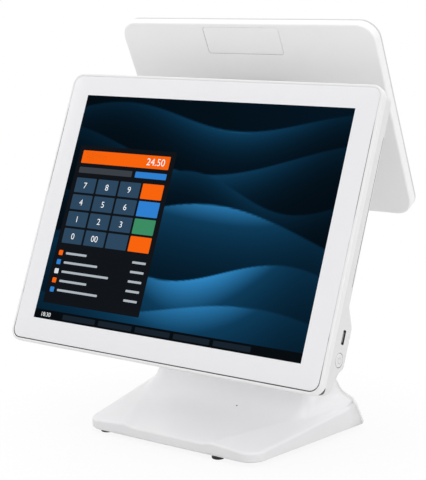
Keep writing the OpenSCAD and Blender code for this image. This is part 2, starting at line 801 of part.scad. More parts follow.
module customer_rear_shell() color(pale) on_customer() difference() {
    union() {
        difference() {
            deep(0, cust_shell_d) rounded(cust_w, cust_h, cust_r);
            deep(cust_wall, cust_shell_d + skin)
                rounded(cust_w - 2 * cust_wall, cust_h - 2 * cust_wall, cust_r - cust_wall);
        }
        leaf_screw_places() rod_y(boss_r, cust_wall - thin, cust_tray_d);
        for (s = [-1, 1], t = [-1, 1])
            translate([s * (cust_cell_w / 2 - cell_post_in), 0, t * (cust_cell_h / 2 - cell_post_in)])
                rod_y(boss_r, cust_wall - thin, cust_tray_d);
    }
    deep(-skin, cover_t) translate([0, cover_z])
        rounded(cover_w + 2 * groove, cover_h + 2 * groove, cover_r + groove);
    leaf_screw_places() rod_y(screw_r + pin_gap, -skin, cust_tray_d - thin);
}

module customer_cover() color(pale) on_customer()
    deep(0, cover_t) translate([0, cover_z]) rounded(cover_w, cover_h, cover_r);

cust_leaf_t = 2;
cust_ear_t = 4;
cust_ear_x = arm_half + ear_gap;
cust_ear_r = cust_pin_r + barrel_wall;
module customer_hinge_leaf() color(steel) on_customer() difference() {
    union() {
        translate([0, 0, cust_hinge_z])
            block([-leaf_w / 2, -cust_leaf_t, -leaf_h / 2], [leaf_w / 2, 0, leaf_h / 2]);
        for (s = [-1, 1]) translate([s * (cust_ear_x + cust_ear_t / 2), 0, cust_hinge_z]) {
            across(cust_ear_t) polygon([[-thin, leaf_edge - leaf_h / 2], [-cust_hinge_off, -cust_ear_r],
                                        [-cust_hinge_off, cust_ear_r], [-thin, leaf_h / 2 - leaf_edge]]);
            translate([0, -cust_hinge_off, 0]) rod_x(cust_ear_r, -cust_ear_t / 2, cust_ear_t / 2);
        }
    }
    translate([0, -cust_hinge_off, cust_hinge_z]) rod_x(cust_pin_r + pin_gap, -leaf_w, leaf_w);
    leaf_screw_places() rod_y(screw_r + pin_gap, -2 * cust_leaf_t, skin);
}

module customer_leaf_screws() color(zinc) on_customer() leaf_screw_places() {
    rod_y(head_r, -cust_leaf_t - head_h, -cust_leaf_t);
    rod_y(screw_r, -cust_leaf_t - thin, cust_wall);
}

pin_head_r = 5;
pin_head_t = 2;
module customer_hinge_pin() color(zinc) on_customer() translate([0, -cust_hinge_off, cust_hinge_z]) {
    rod_x(cust_pin_r, -cust_ear_x - cust_ear_t, cust_ear_x + cust_ear_t);
    for (s = [-1, 1]) mirror([s < 0 ? 1 : 0, 0, 0])
        rod_x(pin_head_r, cust_ear_x + cust_ear_t, cust_ear_x + cust_ear_t + pin_head_t);
}

// STAND

base_rear_y = base_front_y + base_d;
top_rear_y = base_rear_y - base_rear_lean;
sheet_t = 0.2;
rim_h = 1.5;
rim_in = 1;

// Height of the foot's top at a place y
function top_at(y) = foot_h + base_front_t + (y - base_front_y) * tan(base_rise);

// The foot's outline from above, drawn in by g
least_r = 1;
function rear_r(g) = max(base_rear_r - g, least_r);
module foot_outline(g) polygon(rounded_outline(inset([
    [-base_front_w / 2, base_front_y], [base_front_w / 2, base_front_y],
    [base_rear_w / 2, base_rear_y], [-base_rear_w / 2, base_rear_y]
], [g, g, g, g]), [base_front_r - g, base_front_r - g, rear_r(g), rear_r(g)], 6));

// A thin sheet of the foot's outline on its sloping top, drawn in by g and sunk by h
module top_sheet(g, h) intersection() {
    linear_extrude(hinge_z) foot_outline(g);
    across(2 * base_rear_w) polygon([
        [base_front_y - skin, top_at(base_front_y - skin) - h - sheet_t],
        [top_rear_y, top_at(top_rear_y) - h - sheet_t],
        [top_rear_y, top_at(top_rear_y) - h],
        [base_front_y - skin, top_at(base_front_y - skin) - h]
    ]);
}

// The foot as one wedge with a rounded top edge, drawn in by the wall g
round_in = base_edge_r * (1 - cos(45));
module foot_form(g) hull() {
    translate([0, 0, g > 0 ? foot_h - skin : foot_h]) linear_extrude(sheet_t) foot_outline(g + rim_in);
    translate([0, 0, foot_h + rim_h]) linear_extrude(sheet_t) foot_outline(g);
    top_sheet(g, g + base_edge_r);
    top_sheet(g + round_in, g + round_in);
    top_sheet(g + base_edge_r, g);
}

// Middle line of the neck, from the foot up to the tilt axis
neck_foot_y = base_rear_y - neck_back;
neck_foot = [neck_foot_y, top_at(neck_foot_y) - base_edge_r];
neck_top = [hinge_y, hinge_z];
neck_dir = unit(neck_top - neck_foot);
neck_side = [neck_dir.y, -neck_dir.x];
neck_low = foot_h + plate_t;

// Where the neck's front meets the foot's top, and where the fillet between them starts
neck_front_foot = meet(neck_top - neck_side * neck_r, neck_dir, [0, top_at(0)], [1, tan(base_rise)]);
neck_turn = atan2(neck_dir.y, neck_dir.x) - base_rise;
fillet_y = neck_front_foot.x - neck_fillet * tan(neck_turn / 2) * cos(base_rise);

// A shallow dish in the foot's top, deepest at the front edge, sunk by the wall g
scoop_front_w = 104;
scoop_rear_w = 150;
scoop_drop = 2.6;
scoop_gap = 1;
scoop_y = fillet_y - scoop_gap;
scoop_reach = scoop_y - base_front_y;
scoop_end_w = 2 * scoop_front_w - scoop_rear_w;
module scoop(g) translate([0, scoop_y, top_at(scoop_y) - g])
    rotate([atan2(scoop_drop, scoop_reach) + base_rise, 0, 0]) linear_extrude(hinge_z) polygon([
        [-scoop_rear_w / 2, 0], [-scoop_end_w / 2, -2 * scoop_reach],
        [scoop_end_w / 2, -2 * scoop_reach], [scoop_rear_w / 2, 0]
    ]);

// Side outline of the neck, drawn in by the wall g
function neck_outline(g) =
    let (front_top = neck_top - neck_side * neck_r, rear_top = neck_top + neck_side * neck_r)
    rounded_outline(inset([
        rear_top, front_top, neck_front_foot, [scoop_y, top_at(scoop_y)], [scoop_y, neck_low],
        [top_rear_y, neck_low], [top_rear_y, top_at(top_rear_y) - base_edge_r]
    ], [0, g, g, 0, 0, g, g]), [0, 0, neck_fillet + g, 0, 0, 0, 0], 10);

// Front outline of the neck with its flare, drawn in by the wall g
flare_r = 16;
flare_rise = 5;
flare_drop = 8;
waist_r = 30;
shoulder_r = 4;
shoulder_w = base_rear_w / 2 - base_edge_r;
flare_z = top_at(top_rear_y) + flare_rise;
flare_slope = (neck_low_w - neck_top_w) / (hinge_z - flare_h);
flare_w = neck_low_w + flare_slope * (flare_h - flare_z);
flare_half = [
    [shoulder_w, neck_low], [shoulder_w, flare_z - flare_drop], [flare_w, flare_z],
    [neck_top_w, hinge_z - neck_r], [neck_top_w, hinge_z + 2 * neck_r]
];
function turned_over(v) = [for (i = [len(v) - 1:-1:0]) [-v[i].x, v[i].y]];
function back_and_forth(v) = concat(v, [for (i = [len(v) - 1:-1:0]) v[i]]);
function flare_outline(g) =
    rounded_outline(inset(concat(flare_half, turned_over(flare_half)), [g, g, g, g, 0, g, g, g, g, 0]),
                    back_and_forth([0, shoulder_r - g, flare_r + g, waist_r + g, 0]));

// The neck as one leaning, flared form, drawn in by the wall g
module neck_form(g) {
    intersection() {
        across(2 * base_rear_w) polygon(neck_outline(g));
        translate([0, base_rear_y, 0]) rotate([90, 0, 0]) linear_extrude(base_d) polygon(flare_outline(g));
        linear_extrude(hinge_z + 2 * neck_r) foot_outline(g + base_edge_r);
    }
    tilt_axis() rod_x(neck_r - g, -neck_top_w + g, neck_top_w - g);
}

// The rear part of the stand, which comes off as its own cover
module rear_region() across(2 * base_rear_w) polygon([
    neck_top + neck_side * (neck_r - cover_rim) + neck_dir * 2 * neck_r,
    neck_top + neck_side * (neck_r - cover_rim),
    [top_rear_y - cover_rim, top_at(top_rear_y) - base_edge_r],
    [base_rear_y - cover_rim, 0],
    [base_rear_y + 2 * skin, 0],
    [base_rear_y + 2 * skin, hinge_z + 2 * neck_r]
]);

// Foot and neck together, as an open shell
module stand_shell() difference() {
    union() {
        difference() {
            foot_form(0);
            scoop(0);
        }
        neck_form(0);
    }
    difference() {
        foot_form(stand_wall);
        scoop(stand_wall);
    }
    neck_form(stand_wall);
}

// The way through the neck's upper end for the tilt shaft
slot_gap = 1;
module shaft_way() tilt_axis() rod_x(shaft_r + slot_gap, -2 * neck_top_w, 2 * neck_top_w);

plate_boss_r = 4;
plate_bite = 8;
front_screw_in = [24.5, 29];
rear_screw_in = 27;
plate_screw_front = [base_front_w / 2 - front_screw_in.x, base_front_y + front_screw_in.y];
plate_screw_rear = [base_rear_w / 2 - rear_screw_in, fillet_y - plate_boss_r];
// The places of the screws that hold the bottom plate
module plate_screw_at() for (s = [-1, 1], p = [plate_screw_front, plate_screw_rear])
    translate([s * p.x, p.y, 0]) children();

lens_x = 20.5;
lens_back = 9.5;
lens_y = fillet_y + lens_back;
lens_z = top_at(lens_y) + neck_fillet - sqrt(pow(neck_fillet, 2) - pow(lens_back, 2));
lens_r = 0.9;
lens_sunk = 0.4;
module base_shell() color(white) difference() {
    union() {
        difference() {
            stand_shell();
            rear_region();
        }
        intersection() {
            plate_screw_at() translate([0, 0, neck_low]) cylinder(r = plate_boss_r, h = hinge_z);
            across(2 * base_rear_w) polygon([
                [base_front_y, 0], [base_rear_y, 0],
                [base_rear_y, top_at(base_rear_y) - rim_in], [base_front_y, top_at(base_front_y) - rim_in]
            ]);
        }
    }
    plate_screw_at() cylinder(r = screw_r + pin_gap, h = foot_h + plate_bite + skin);
    translate([lens_x, lens_y, 0]) cylinder(r = lens_r + pin_gap, h = hinge_z);
    shaft_way();
}

module rear_cover() color(pale) difference() {
    intersection() {
        stand_shell();
        rear_region();
    }
    block([-outlet_w / 2, base_rear_y - 3 * base_rear_lean, 0],
          [outlet_w / 2, base_rear_y + skin, neck_low + outlet_h]);
    shaft_way();
}

module bottom_plate() color(zinc) difference() {
    translate([0, 0, foot_h]) linear_extrude(plate_t) difference() {
        foot_outline(stand_wall + rim_in + fit_gap);
        translate([-base_rear_w / 2, base_rear_y - cover_rim]) square([base_rear_w, 2 * cover_rim]);
    }
    translate([0, 0, foot_h - skin]) {
        plate_screw_at() cylinder(r = screw_r + pin_gap, h = plate_t + 2 * skin);
        post_screw_at() cylinder(r = screw_r + pin_gap, h = plate_t + 2 * skin);
    }
}

// A screw that goes up through the bottom plate
module screw_up(l) {
    translate([0, 0, foot_h - head_h]) cylinder(r = head_r, h = head_h);
    translate([0, 0, foot_h - thin]) cylinder(r = screw_r, h = l);
}

module plate_screws() color(zinc) plate_screw_at() screw_up(plate_bite);

// A sheet steel post inside the neck, from the bottom plate to the tilt shaft
post_half = 36;
post_w = 16;
post_back = 5;
post_foot_l = 48;
post_foot_in = 10;
post_eye_r = 9;
post_foot = neck_foot - [post_back, 0];
post_dir = unit(neck_top - post_foot);
post_side = [post_dir.y, -post_dir.x];
post_end = post_foot.x + post_w / 2;
web_t = 2;
web_in = 12;
web_out = 38;
web_low = post_foot + post_dir * web_in;
web_high = neck_top - post_dir * web_out;
// The places of the screws that hold the post
module post_screw_at() for (s = [-1, 1], y = [post_end - post_foot_l + post_foot_in, post_end - post_foot_in])
    translate([s * (post_half - post_foot_in), y, 0]) children();
module neck_post() color(steel) difference() {
    union() {
        for (s = [-1, 1]) translate([s * post_half, 0, 0]) {
            across(post_t) polygon([
                neck_top + post_side * post_w / 2, neck_top - post_side * post_w / 2,
                post_foot - post_side * post_w / 2, [post_end - post_foot_l, neck_low + post_t],
                [post_end - post_foot_l, neck_low], [post_end, neck_low], post_foot + post_side * post_w / 2
            ]);
            tilt_axis() rod_x(post_eye_r, -post_t / 2, post_t / 2);
        }
        across(2 * post_half) polygon([
            web_low - post_side * web_t / 2, web_low + post_side * web_t / 2,
            web_high + post_side * web_t / 2, web_high - post_side * web_t / 2
        ]);
        block([-post_half, post_end - post_foot_l, neck_low], [post_half, post_end, neck_low + post_t]);
    }
    tilt_axis() rod_x(shaft_r + pin_gap, -2 * post_half, 2 * post_half);
    post_screw_at() translate([0, 0, foot_h]) cylinder(r = screw_r + pin_gap, h = plate_t + post_t + skin);
}

module post_screws() color(zinc) post_screw_at() screw_up(plate_t + post_t);

// The front feet stand at unequal distances from the two sides
left_foot_in = [16, 12];
right_foot_in = [44, 8];
front_feet = [
    [-base_front_w / 2 + left_foot_in.x, base_front_y + left_foot_in.y],
    [base_front_w / 2 - right_foot_in.x, base_front_y + right_foot_in.y]
];
rear_foot_in = [23, 19];
rear_foot_at = [base_rear_w / 2 - rear_foot_in.x, base_rear_y - rear_foot_in.y];
module rubber_feet() color(black) {
    for (p = front_feet) translate(p) cylinder(r = foot_r, h = foot_h);
    for (s = [-1, 1]) translate([s * rear_foot_at.x, rear_foot_at.y, 0]) cylinder(r = foot_r, h = foot_h);
}

module status_lens() color("#3A3D42") translate([lens_x, lens_y, lens_z - stand_wall])
    cylinder(r = lens_r, h = stand_wall - lens_sunk);

touch_glass();
border_film();
front_frame();
lcd_cell();
lcd_backlight();
chassis_plate();
rear_housing();
main_board();
heat_sink();
memory_module();
storage_card();
usb_sockets();
lan_socket();
serial_socket();
dc_inlet();
port_cover();
touch_controller();
side_board();
side_usb_socket();
button_switch();
speakers();
housing_screws();
hinge_bracket();
hinge_screws();
customer_arm();
arm_screws();
power_button();
customer_glass();
customer_film();
customer_frame();
customer_cell();
customer_backlight();
customer_board();
customer_rear_shell();
customer_cover();
customer_hinge_leaf();
customer_leaf_screws();
customer_hinge_pin();
base_shell();
rear_cover();
bottom_plate();
neck_post();
tilt_shaft();
friction_washers();
shaft_nuts();
post_screws();
plate_screws();
rubber_feet();
status_lens();
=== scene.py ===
import json
import math

import bmesh
import bpy
import numpy as np
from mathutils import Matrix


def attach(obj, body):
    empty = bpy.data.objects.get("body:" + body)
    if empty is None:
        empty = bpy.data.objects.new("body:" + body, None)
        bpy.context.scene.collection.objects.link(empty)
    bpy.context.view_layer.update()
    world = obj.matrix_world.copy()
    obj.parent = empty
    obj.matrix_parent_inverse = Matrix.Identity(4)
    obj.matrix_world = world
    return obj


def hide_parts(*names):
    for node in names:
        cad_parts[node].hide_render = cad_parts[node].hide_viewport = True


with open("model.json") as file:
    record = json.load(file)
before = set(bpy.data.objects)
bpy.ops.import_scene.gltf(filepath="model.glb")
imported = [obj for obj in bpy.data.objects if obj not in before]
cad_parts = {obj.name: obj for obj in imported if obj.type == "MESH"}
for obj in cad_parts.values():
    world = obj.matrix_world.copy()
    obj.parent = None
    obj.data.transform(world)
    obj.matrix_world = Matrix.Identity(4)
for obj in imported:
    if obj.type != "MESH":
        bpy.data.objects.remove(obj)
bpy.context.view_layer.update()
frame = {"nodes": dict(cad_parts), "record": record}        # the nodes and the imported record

mm = 0.001               # sizes below are in millimetres, meshes are in metres
creaseAngle = 34         # degrees; sharper edges stay sharp
axisGap = 0.02           # radius of the tiny hole at a turned piece's axis
scene = bpy.context.scene


def toLinear(hexColour):
    # sRGB hex to linear red, green, blue, with full alpha
    s = np.array([int(hexColour[i:i + 2], 16) for i in (1, 3, 5)]) / 255
    return (*np.where(s <= 0.04045, s / 12.92, ((s + 0.055) / 1.055) ** 2.4), 1.0)


def addNode(tree, kind, inputs, **settings):
    # adds one node and gives its outputs; an input is a value, a hex colour or the socket that feeds it
    node = tree.nodes.new("ShaderNode" + kind)
    for name, value in settings.items():
        setattr(node, name, value)
    for key, value in inputs.items():
        if isinstance(value, bpy.types.NodeSocket):
            tree.links.new(value, node.inputs[key])
        else:
            node.inputs[key].default_value = toLinear(value) if isinstance(value, str) else value
    return node.outputs


def newMaterial(name):
    # an empty material, its node tree and the object coordinates that its patterns read
    material = bpy.data.materials.new(name)
    material.use_nodes = True
    tree = material.node_tree
    tree.nodes.clear()
    return material, tree, addNode(tree, "TexCoord", {})["Object"]


def closed(material, shader):
    # a material is closed when its last shader reaches the surface
    addNode(material.node_tree, "OutputMaterial", {"Surface": shader[0]})
    return material


def mouldedPlastic(name, colour, shade, roughness, grain, relief):
    # ABS from a spark-eroded mould: satin, a fine orange-peel grain, and a faint cloudy tone.
    # The real grain is near 0.1 mm, so it is drawn coarser to show.
    cloudSize, grainDepth, glossSpread = 70 * mm, 0.1 * mm, 0.05
    material, tree, coords = newMaterial(name)
    cloud = addNode(tree, "TexNoise", {"Vector": coords, "Scale": 1 / cloudSize, "Detail": 2.0})
    tone = addNode(tree, "Mix", {0: cloud[0], 6: colour, 7: shade}, data_type="RGBA")
    peel = addNode(tree, "TexNoise", {"Vector": coords, "Scale": 1 / (grain * mm), "Detail": 3.0})
    satin = addNode(tree, "MapRange", {
        "Value": peel[0], "To Min": roughness - glossSpread, "To Max": roughness + glossSpread})
    bump = addNode(tree, "Bump", {"Height": peel[0], "Strength": relief, "Distance": grainDepth})
    return closed(material, addNode(tree, "BsdfPrincipled", {
        "Base Color": tone[2], "Roughness": satin[0], "Normal": bump[0], "IOR": 1.53}))


def printedGlass(name, colour, shade):
    # white ink on the back of tempered glass: even and glossy, with a trace of roller streaks
    streakSize, stretch = 12 * mm, 0.12
    material, tree, coords = newMaterial(name)
    wide = addNode(tree, "Mapping", {"Vector": coords, "Scale": (1.0, stretch, stretch)})
    streak = addNode(tree, "TexNoise", {"Vector": wide[0], "Scale": 1 / streakSize})
    tone = addNode(tree, "Mix", {0: streak[0], 6: colour, 7: shade}, data_type="RGBA")
    return closed(material, addNode(tree, "BsdfPrincipled", {
        "Base Color": tone[2], "Roughness": 0.16, "IOR": 1.5, "Specular IOR Level": 0.4}))


def litScreen(name):
    # lit liquid crystal under etched glass: its own light shows, with no mirror reflection
    etchSize = 2 * mm
    material, tree, coords = newMaterial(name)
    picture = addNode(tree, "Attribute", {}, attribute_name="picture")
    matt = addNode(tree, "TexNoise", {"Vector": coords, "Scale": 1 / etchSize})
    haze = addNode(tree, "MapRange", {"Value": matt[0], "To Min": 0.18, "To Max": 0.26})
    return closed(material, addNode(tree, "BsdfPrincipled", {
        "Base Color": "#020304", "Emission Color": picture["Color"], "Emission Strength": 1.0,
        "Roughness": haze[0], "Specular IOR Level": 0.0}))


def paintedShadePlastic(name, dark, light, roughness):
    # moulded plastic whose tone runs from dark to light by the piece's own tone attribute, which holds
    # painted shade, a little uneven
    streakSize, streakShare = 25 * mm, 0.5
    material, tree, coords = newMaterial(name)
    tone = addNode(tree, "Attribute", {}, attribute_name="tone")
    streak = addNode(tree, "TexNoise", {"Vector": coords, "Scale": 1 / streakSize, "Detail": 3.0})
    streaked = addNode(tree, "Math", {0: streak[0], 1: streakShare, 2: -streakShare / 2}, operation="MULTIPLY_ADD")
    mixed = addNode(tree, "Math", {0: tone["Fac"], 1: streaked[0]}, operation="ADD", use_clamp=True)
    colour = addNode(tree, "Mix", {0: mixed[0], 6: dark, 7: light}, data_type="RGBA")
    return closed(material, addNode(tree, "BsdfPrincipled", {
        "Base Color": colour[2], "Roughness": roughness}))


def drawnMetal(name, colour, shade, roughness, line):
    # rolled or plated metal: fine lines along X vary the gloss, and the tone is slightly blotched
    stretch, glossSpread, blotchSize, lineDepth = 0.06, 0.12, 9 * mm, 0.05 * mm
    material, tree, coords = newMaterial(name)
    along = addNode(tree, "Mapping", {"Vector": coords, "Scale": (stretch, 1.0, 1.0)})
    lines = addNode(tree, "TexNoise", {"Vector": along[0], "Scale": 1 / (line * mm), "Detail": 4.0})
    gloss = addNode(tree, "MapRange", {
        "Value": lines[0], "To Min": roughness - glossSpread, "To Max": roughness + glossSpread})
    blotch = addNode(tree, "TexNoise", {"Vector": coords, "Scale": 1 / blotchSize, "Detail": 2.0})
    tone = addNode(tree, "Mix", {0: blotch[0], 6: colour, 7: shade}, data_type="RGBA")
    bump = addNode(tree, "Bump", {"Height": lines[0], "Strength": 0.15, "Distance": lineDepth})
    return closed(material, addNode(tree, "BsdfPrincipled", {
        "Base Color": tone[2], "Metallic": 1.0, "Roughness": gloss[0], "Normal": bump[0]}))


def maskedBoard(name, mask, track):
    # solder mask over copper: raised tracks about 1 mm wide show as lighter bands
    fieldSize, trackDepth = 40 * mm, 0.1 * mm
    material, tree, coords = newMaterial(name)
    tracks = addNode(tree, "TexBrick", {
        "Vector": coords, "Scale": 1 / fieldSize, "Mortar Size": 0.02, "Color1": mask, "Color2": mask,
        "Mortar": track})
    bump = addNode(tree, "Bump", {"Height": tracks["Fac"], "Strength": 0.3, "Distance": trackDepth})
    return closed(material, addNode(tree, "BsdfPrincipled", {
        "Base Color": tracks[0], "Roughness": 0.35, "Normal": bump[0]}))


# moulded finishes as (name, colour, shade, roughness, grain in mm, relief)
moulded = {
    "frameWhite": ("satin_white_abs", "#EAEAEB", "#E7E6E7", 0.30, 0.7, 0.05),
    "housingWhite": ("textured_white_abs", "#E2E1E2", "#DEDDDE", 0.42, 0.8, 0.10),
    # shellWhite is the white plastic made lighter as painted light, against the shade on the customer
    # display's back
    "shellWhite": ("white_abs_painted_lighter", "#F5F4F4", "#F2F1F2", 0.42, 0.8, 0.08),
    "trimGrey": ("grey_trim_abs", "#CFCFD0", "#CACACB", 0.35, 0.7, 0.05),
    "standWhite": ("matt_white_abs", "#E8E8E9", "#E4E3E5", 0.45, 0.9, 0.10),
    "black": ("black_abs", "#1B1B1D", "#242426", 0.45, 0.8, 0.15),
    # slotDark is painted shade: the dark walls of cuts and gaps, where shade falls inside them
    "slotDark": ("painted_shade_abs", "#26262A", "#303034", 0.6, 1.2, 0.10),
    "rubber": ("black_rubber", "#141416", "#1E1E20", 0.78, 1.0, 0.35),
    "guide": ("acrylic_light_guide", "#DCE3E6", "#CBD4D8", 0.20, 1.5, 0.05),
    "mark": ("grey_print", "#C2C3C7", "#BABBC0", 0.40, 0.6, 0.05),
    # groove is painted shade for the seam round the customer display's cover plate
    "groove": ("painted_shade_groove", "#A9A9AD", "#A1A1A6", 0.55, 0.8, 0.05),
    "tongue": ("grey_contact_tongue", "#77777B", "#6C6C70", 0.45, 0.8, 0.05),
}
finish = {look: mouldedPlastic(*values) for look, values in moulded.items()}
finish.update({
    "inkWhite": printedGlass("white_printed_glass", "#E9E9EB", "#E7E7E9"),
    "screen": litScreen("lit_screen"),
    # the gasket's dark and light colours are the two ends of its painted shade
    "gasket": paintedShadePlastic("gasket_painted_shade", "#38383C", "#DADADC", 0.5),
    "zinc": drawnMetal("zinc_plated_steel", "#B4B8BC", "#A3A7AC", 0.34, 0.6),
    "steel": drawnMetal("black_oxide_steel", "#5C5E63", "#505257", 0.40, 0.8),
    "aluminium": drawnMetal("rolled_aluminium", "#C9CCD0", "#BCC0C4", 0.38, 0.7),
    "board": maskedBoard("green_solder_mask", "#0F4A2C", "#1E6B42"),
})
slotFinish = {
    "touch_glass": "inkWhite", "border_print": "inkWhite", "white_plastic": "standWhite",
    "housing_plastic": "housingWhite", "screen": "guide", "light_guide": "guide", "zinc_steel": "zinc",
    "hinge_steel": "steel", "aluminium": "aluminium", "circuit_board": "board", "black_plastic": "black",
    "rubber": "rubber"}
print("materials:", len(finish))


def sideBySide(*parts):
    # arrays and numbers, spread to one size, as the last axis of one array
    return np.stack(np.broadcast_arrays(*parts), -1)


def gridFaces(rows, columns, wrap):
    # quads between neighbouring rows of points; wrap joins the last column to the first
    r = np.arange(rows - 1)[:, None] * columns
    c = np.arange(columns if wrap else columns - 1)[None, :]
    n = (c + 1) % columns
    return sideBySide(r + c, r + n, r + n + columns, r + c + columns).reshape(-1, 4).tolist()


def loft(rings, ends=True):
    # rings (m, n, 3) skinned with quads, each end ring closed by one flat face
    m, n = rings.shape[:2]
    faces = gridFaces(m, n, True)
    if ends:
        faces += [list(range(n)), list(range((m - 1) * n, m * n))]
    return rings.reshape(-1, 3), faces


def joined(shapes):
    # several shapes as one list of points and faces
    starts = np.cumsum([0] + [len(points) for points, _ in shapes])
    faces = [[i + start for i in face] for (_, own), start in zip(shapes, starts) for face in own]
    return np.concatenate([points for points, _ in shapes]), faces


def roundLoops(width, height, radius, arc=9):
    # rounded rectangles: a quarter circle about each corner's centre, from the lower right, anticlockwise
    turn = np.radians(np.linspace(-90, 0, arc)[None, :] + 90 * np.arange(4)[:, None])
    w, h, r = (np.asarray(v, float)[..., None, None] for v in (width, height, radius))
    x = np.array([1, 1, -1, -1])[:, None] * (w / 2 - r) + r * np.cos(turn)
    y = np.array([-1, 1, 1, -1])[:, None] * (h / 2 - r) + r * np.sin(turn)
    return sideBySide(x, y).reshape(*np.shape(width), -1, 2)


def fullTurn(steps):
    # angles once round, without the last that repeats the first
    return np.linspace(0, 2 * np.pi, steps, endpoint=False)


def mix(a, b, k):
    return a + (b - a) * k


def quarter(cx, cy, radius, start, steps=6):
    # a quarter circle about (cx, cy), anticlockwise from the start angle in degrees
    a = np.radians(start + np.linspace(0, 90, steps))
    return sideBySide(cx + radius * np.cos(a), cy + radius * np.sin(a))


def carryRound(profile, size, centreUp=0.0):
    # a profile of (reach, depth) carried round a rounded rectangle, which grows by the reach on all sides
    reach, depth = np.asarray(profile, float).T
    width, height, radius = size
    loops = roundLoops(width + 2 * reach, height + 2 * reach, radius + reach)
    return sideBySide(loops[..., 0], depth[:, None], loops[..., 1] + centreUp)


def ringAt(loop, depth, x=0.0, up=0.0):
    # a loop of (x, up) moved to its place on a panel, at one depth
    return sideBySide(loop[:, 0] + x, depth, loop[:, 1] + up)


def onPanel(points, panel):
    # (x, depth, up) of a tilted panel to metres: depth and up turn about X by the panel's tilt
    x, depth, up = np.moveaxis(np.asarray(points, float), -1, 0)
    c, s = math.cos(math.radians(panel["tilt"])), math.sin(math.radians(panel["tilt"]))
    return sideBySide(x, panel["y"] + depth * c + up * s, panel["z"] - depth * s + up * c) * mm


def roundShape(profile, size, panel, up=0.0, ends=True):
    # the carried profile as a shape on its panel
    return loft(onPanel(carryRound(profile, size, up), panel), ends)


def newObject(name, shape, look, crease=creaseAngle):
    # doubles are merged and faces turned outwards; edges sharper than the crease angle stay sharp
    double, sliver = 0.004 * mm, 0.002 * mm
    mesh = bpy.data.meshes.new(name)
    mesh.from_pydata(shape[0].tolist(), [], shape[1])
    work = bmesh.new()
    work.from_mesh(mesh)
    bmesh.ops.remove_doubles(work, verts=work.verts, dist=double)
    bmesh.ops.dissolve_degenerate(work, edges=work.edges, dist=sliver)
    bmesh.ops.recalc_face_normals(work, faces=work.faces)
    work.to_mesh(mesh)
    work.free()
    mesh.materials.append(finish[look])
    piece = bpy.data.objects.new(name, mesh)
    scene.collection.objects.link(piece)
    shadeSmooth(piece, crease)
    return piece


def shadeSmooth(piece, crease=creaseAngle):
    mesh = piece.data
    mesh.polygons.foreach_set("use_smooth", np.ones(len(mesh.polygons), bool))
    mesh.set_sharp_from_angle(angle=math.radians(crease))


def settle(piece, body, slot, *nodes):
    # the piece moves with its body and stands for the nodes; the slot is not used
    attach(piece, body)
    if nodes:
        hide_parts(*nodes)
    print("piece:", piece.name, len(piece.data.polygons), "faces")


def addPiece(name, shape, look, body, slot, *nodes):
    # for a piece that needs nothing between its making and its settling
    settle(newObject(name, shape, look), body, slot, *nodes)


def cutAway(piece, shape, look):
    # boolean difference, applied; the cut's own walls take the finish given
    cutter = newObject("cutter", shape, look)
    cut = piece.modifiers.new("cut", "BOOLEAN")
    cut.object = cutter
    cut.solver = "EXACT"
    cut.material_mode = "TRANSFER"
    bpy.context.view_layer.update()
    solid = piece.evaluated_get(bpy.context.evaluated_depsgraph_get())
    mesh = bpy.data.meshes.new_from_object(solid)
    piece.modifiers.clear()
    piece.data = mesh
    bpy.data.objects.remove(cutter)
    shadeSmooth(piece)


def thicken(piece, wall):
    # a wall of even thickness, grown inwards
    shell = piece.modifiers.new("wall", "SOLIDIFY")
    shell.thickness = wall * mm
    shell.offset = -1


def pointsOf(mesh):
    # the mesh's points as one array
    co = np.empty(len(mesh.vertices) * 3)
    mesh.vertices.foreach_get("co", co)
    return co.reshape(-1, 3)


def paint(piece, attribute, colours):
    # one linear colour per point, as whole arrays
    layer = piece.data.color_attributes.new(attribute, "FLOAT_COLOR", "POINT")
    layer.data.foreach_set("color", np.asarray(colours, np.float32).ravel())


head = {"tilt": 22.5, "y": -67.5, "z": 214.0}          # the screen's centre and lean
customer = {"tilt": -26.5, "y": 63.5, "z": 298.5}      # the rear display's centre and lean

# Front frame: a narrow lip round the glass, rounded at its front and back edges
frontFrame = {"glass": (347, 270, 9), "up": -1.0, "gap": 0.1, "lip": 2.5, "depth": 8.5, "front": 1.2,
              "inner": 0.5, "back": 0.8, "ledge": 1.0, "seat": 3.4}


def frontFrameShape(s):
    # closed profile of (reach, depth) carried round the glass: lip, side, back and the glass's ledge
    inner = quarter(s["gap"] + s["inner"], s["inner"], s["inner"], 180)
    outer = quarter(s["lip"] - s["front"], s["front"], s["front"], 270)
    back = quarter(s["lip"] - s["back"], s["depth"] - s["back"], s["back"], 0)
    ledge = [(-s["ledge"], s["depth"]), (-s["ledge"], s["seat"]), (s["gap"], s["seat"])]
    profile = np.concatenate([inner, outer, back, ledge, inner[:1]])
    return roundShape(profile, s["glass"], head, s["up"], ends=False)


addPiece("front_lip", frontFrameShape(frontFrame), "frameWhite", "head", "white_plastic", "front_frame")

# Shadow gap behind the frame: a dark strip of painted shade on the housing's wall, wide under the two lower
# corners
shadowGap = {"size": (348, 271, 9), "up": -1.0, "reach": 0.12, "depth": 8.2, "thin": 1.2, "wide": 7.5,
             "skew": 0.6, "arc": 9}


def shadowGapShape(s):
    # two loops round the housing; their distance swells as a half wave round each lower corner
    arc = s["arc"]
    width = np.full(4 * arc, s["thin"])
    width[:arc] += (s["wide"] - s["thin"]) * np.sin(np.pi * np.linspace(0, 1, arc) ** s["skew"])
    width[3 * arc:] = width[:arc][::-1]
    rings = carryRound([(s["reach"], s["depth"])] * 2, s["size"], s["up"])
    rings[1, :, 1] += width
    return loft(onPanel(rings, head), ends=False)


addPiece("frame_shadow_gap", shadowGapShape(shadowGap), "slotDark", "head", "black_plastic")

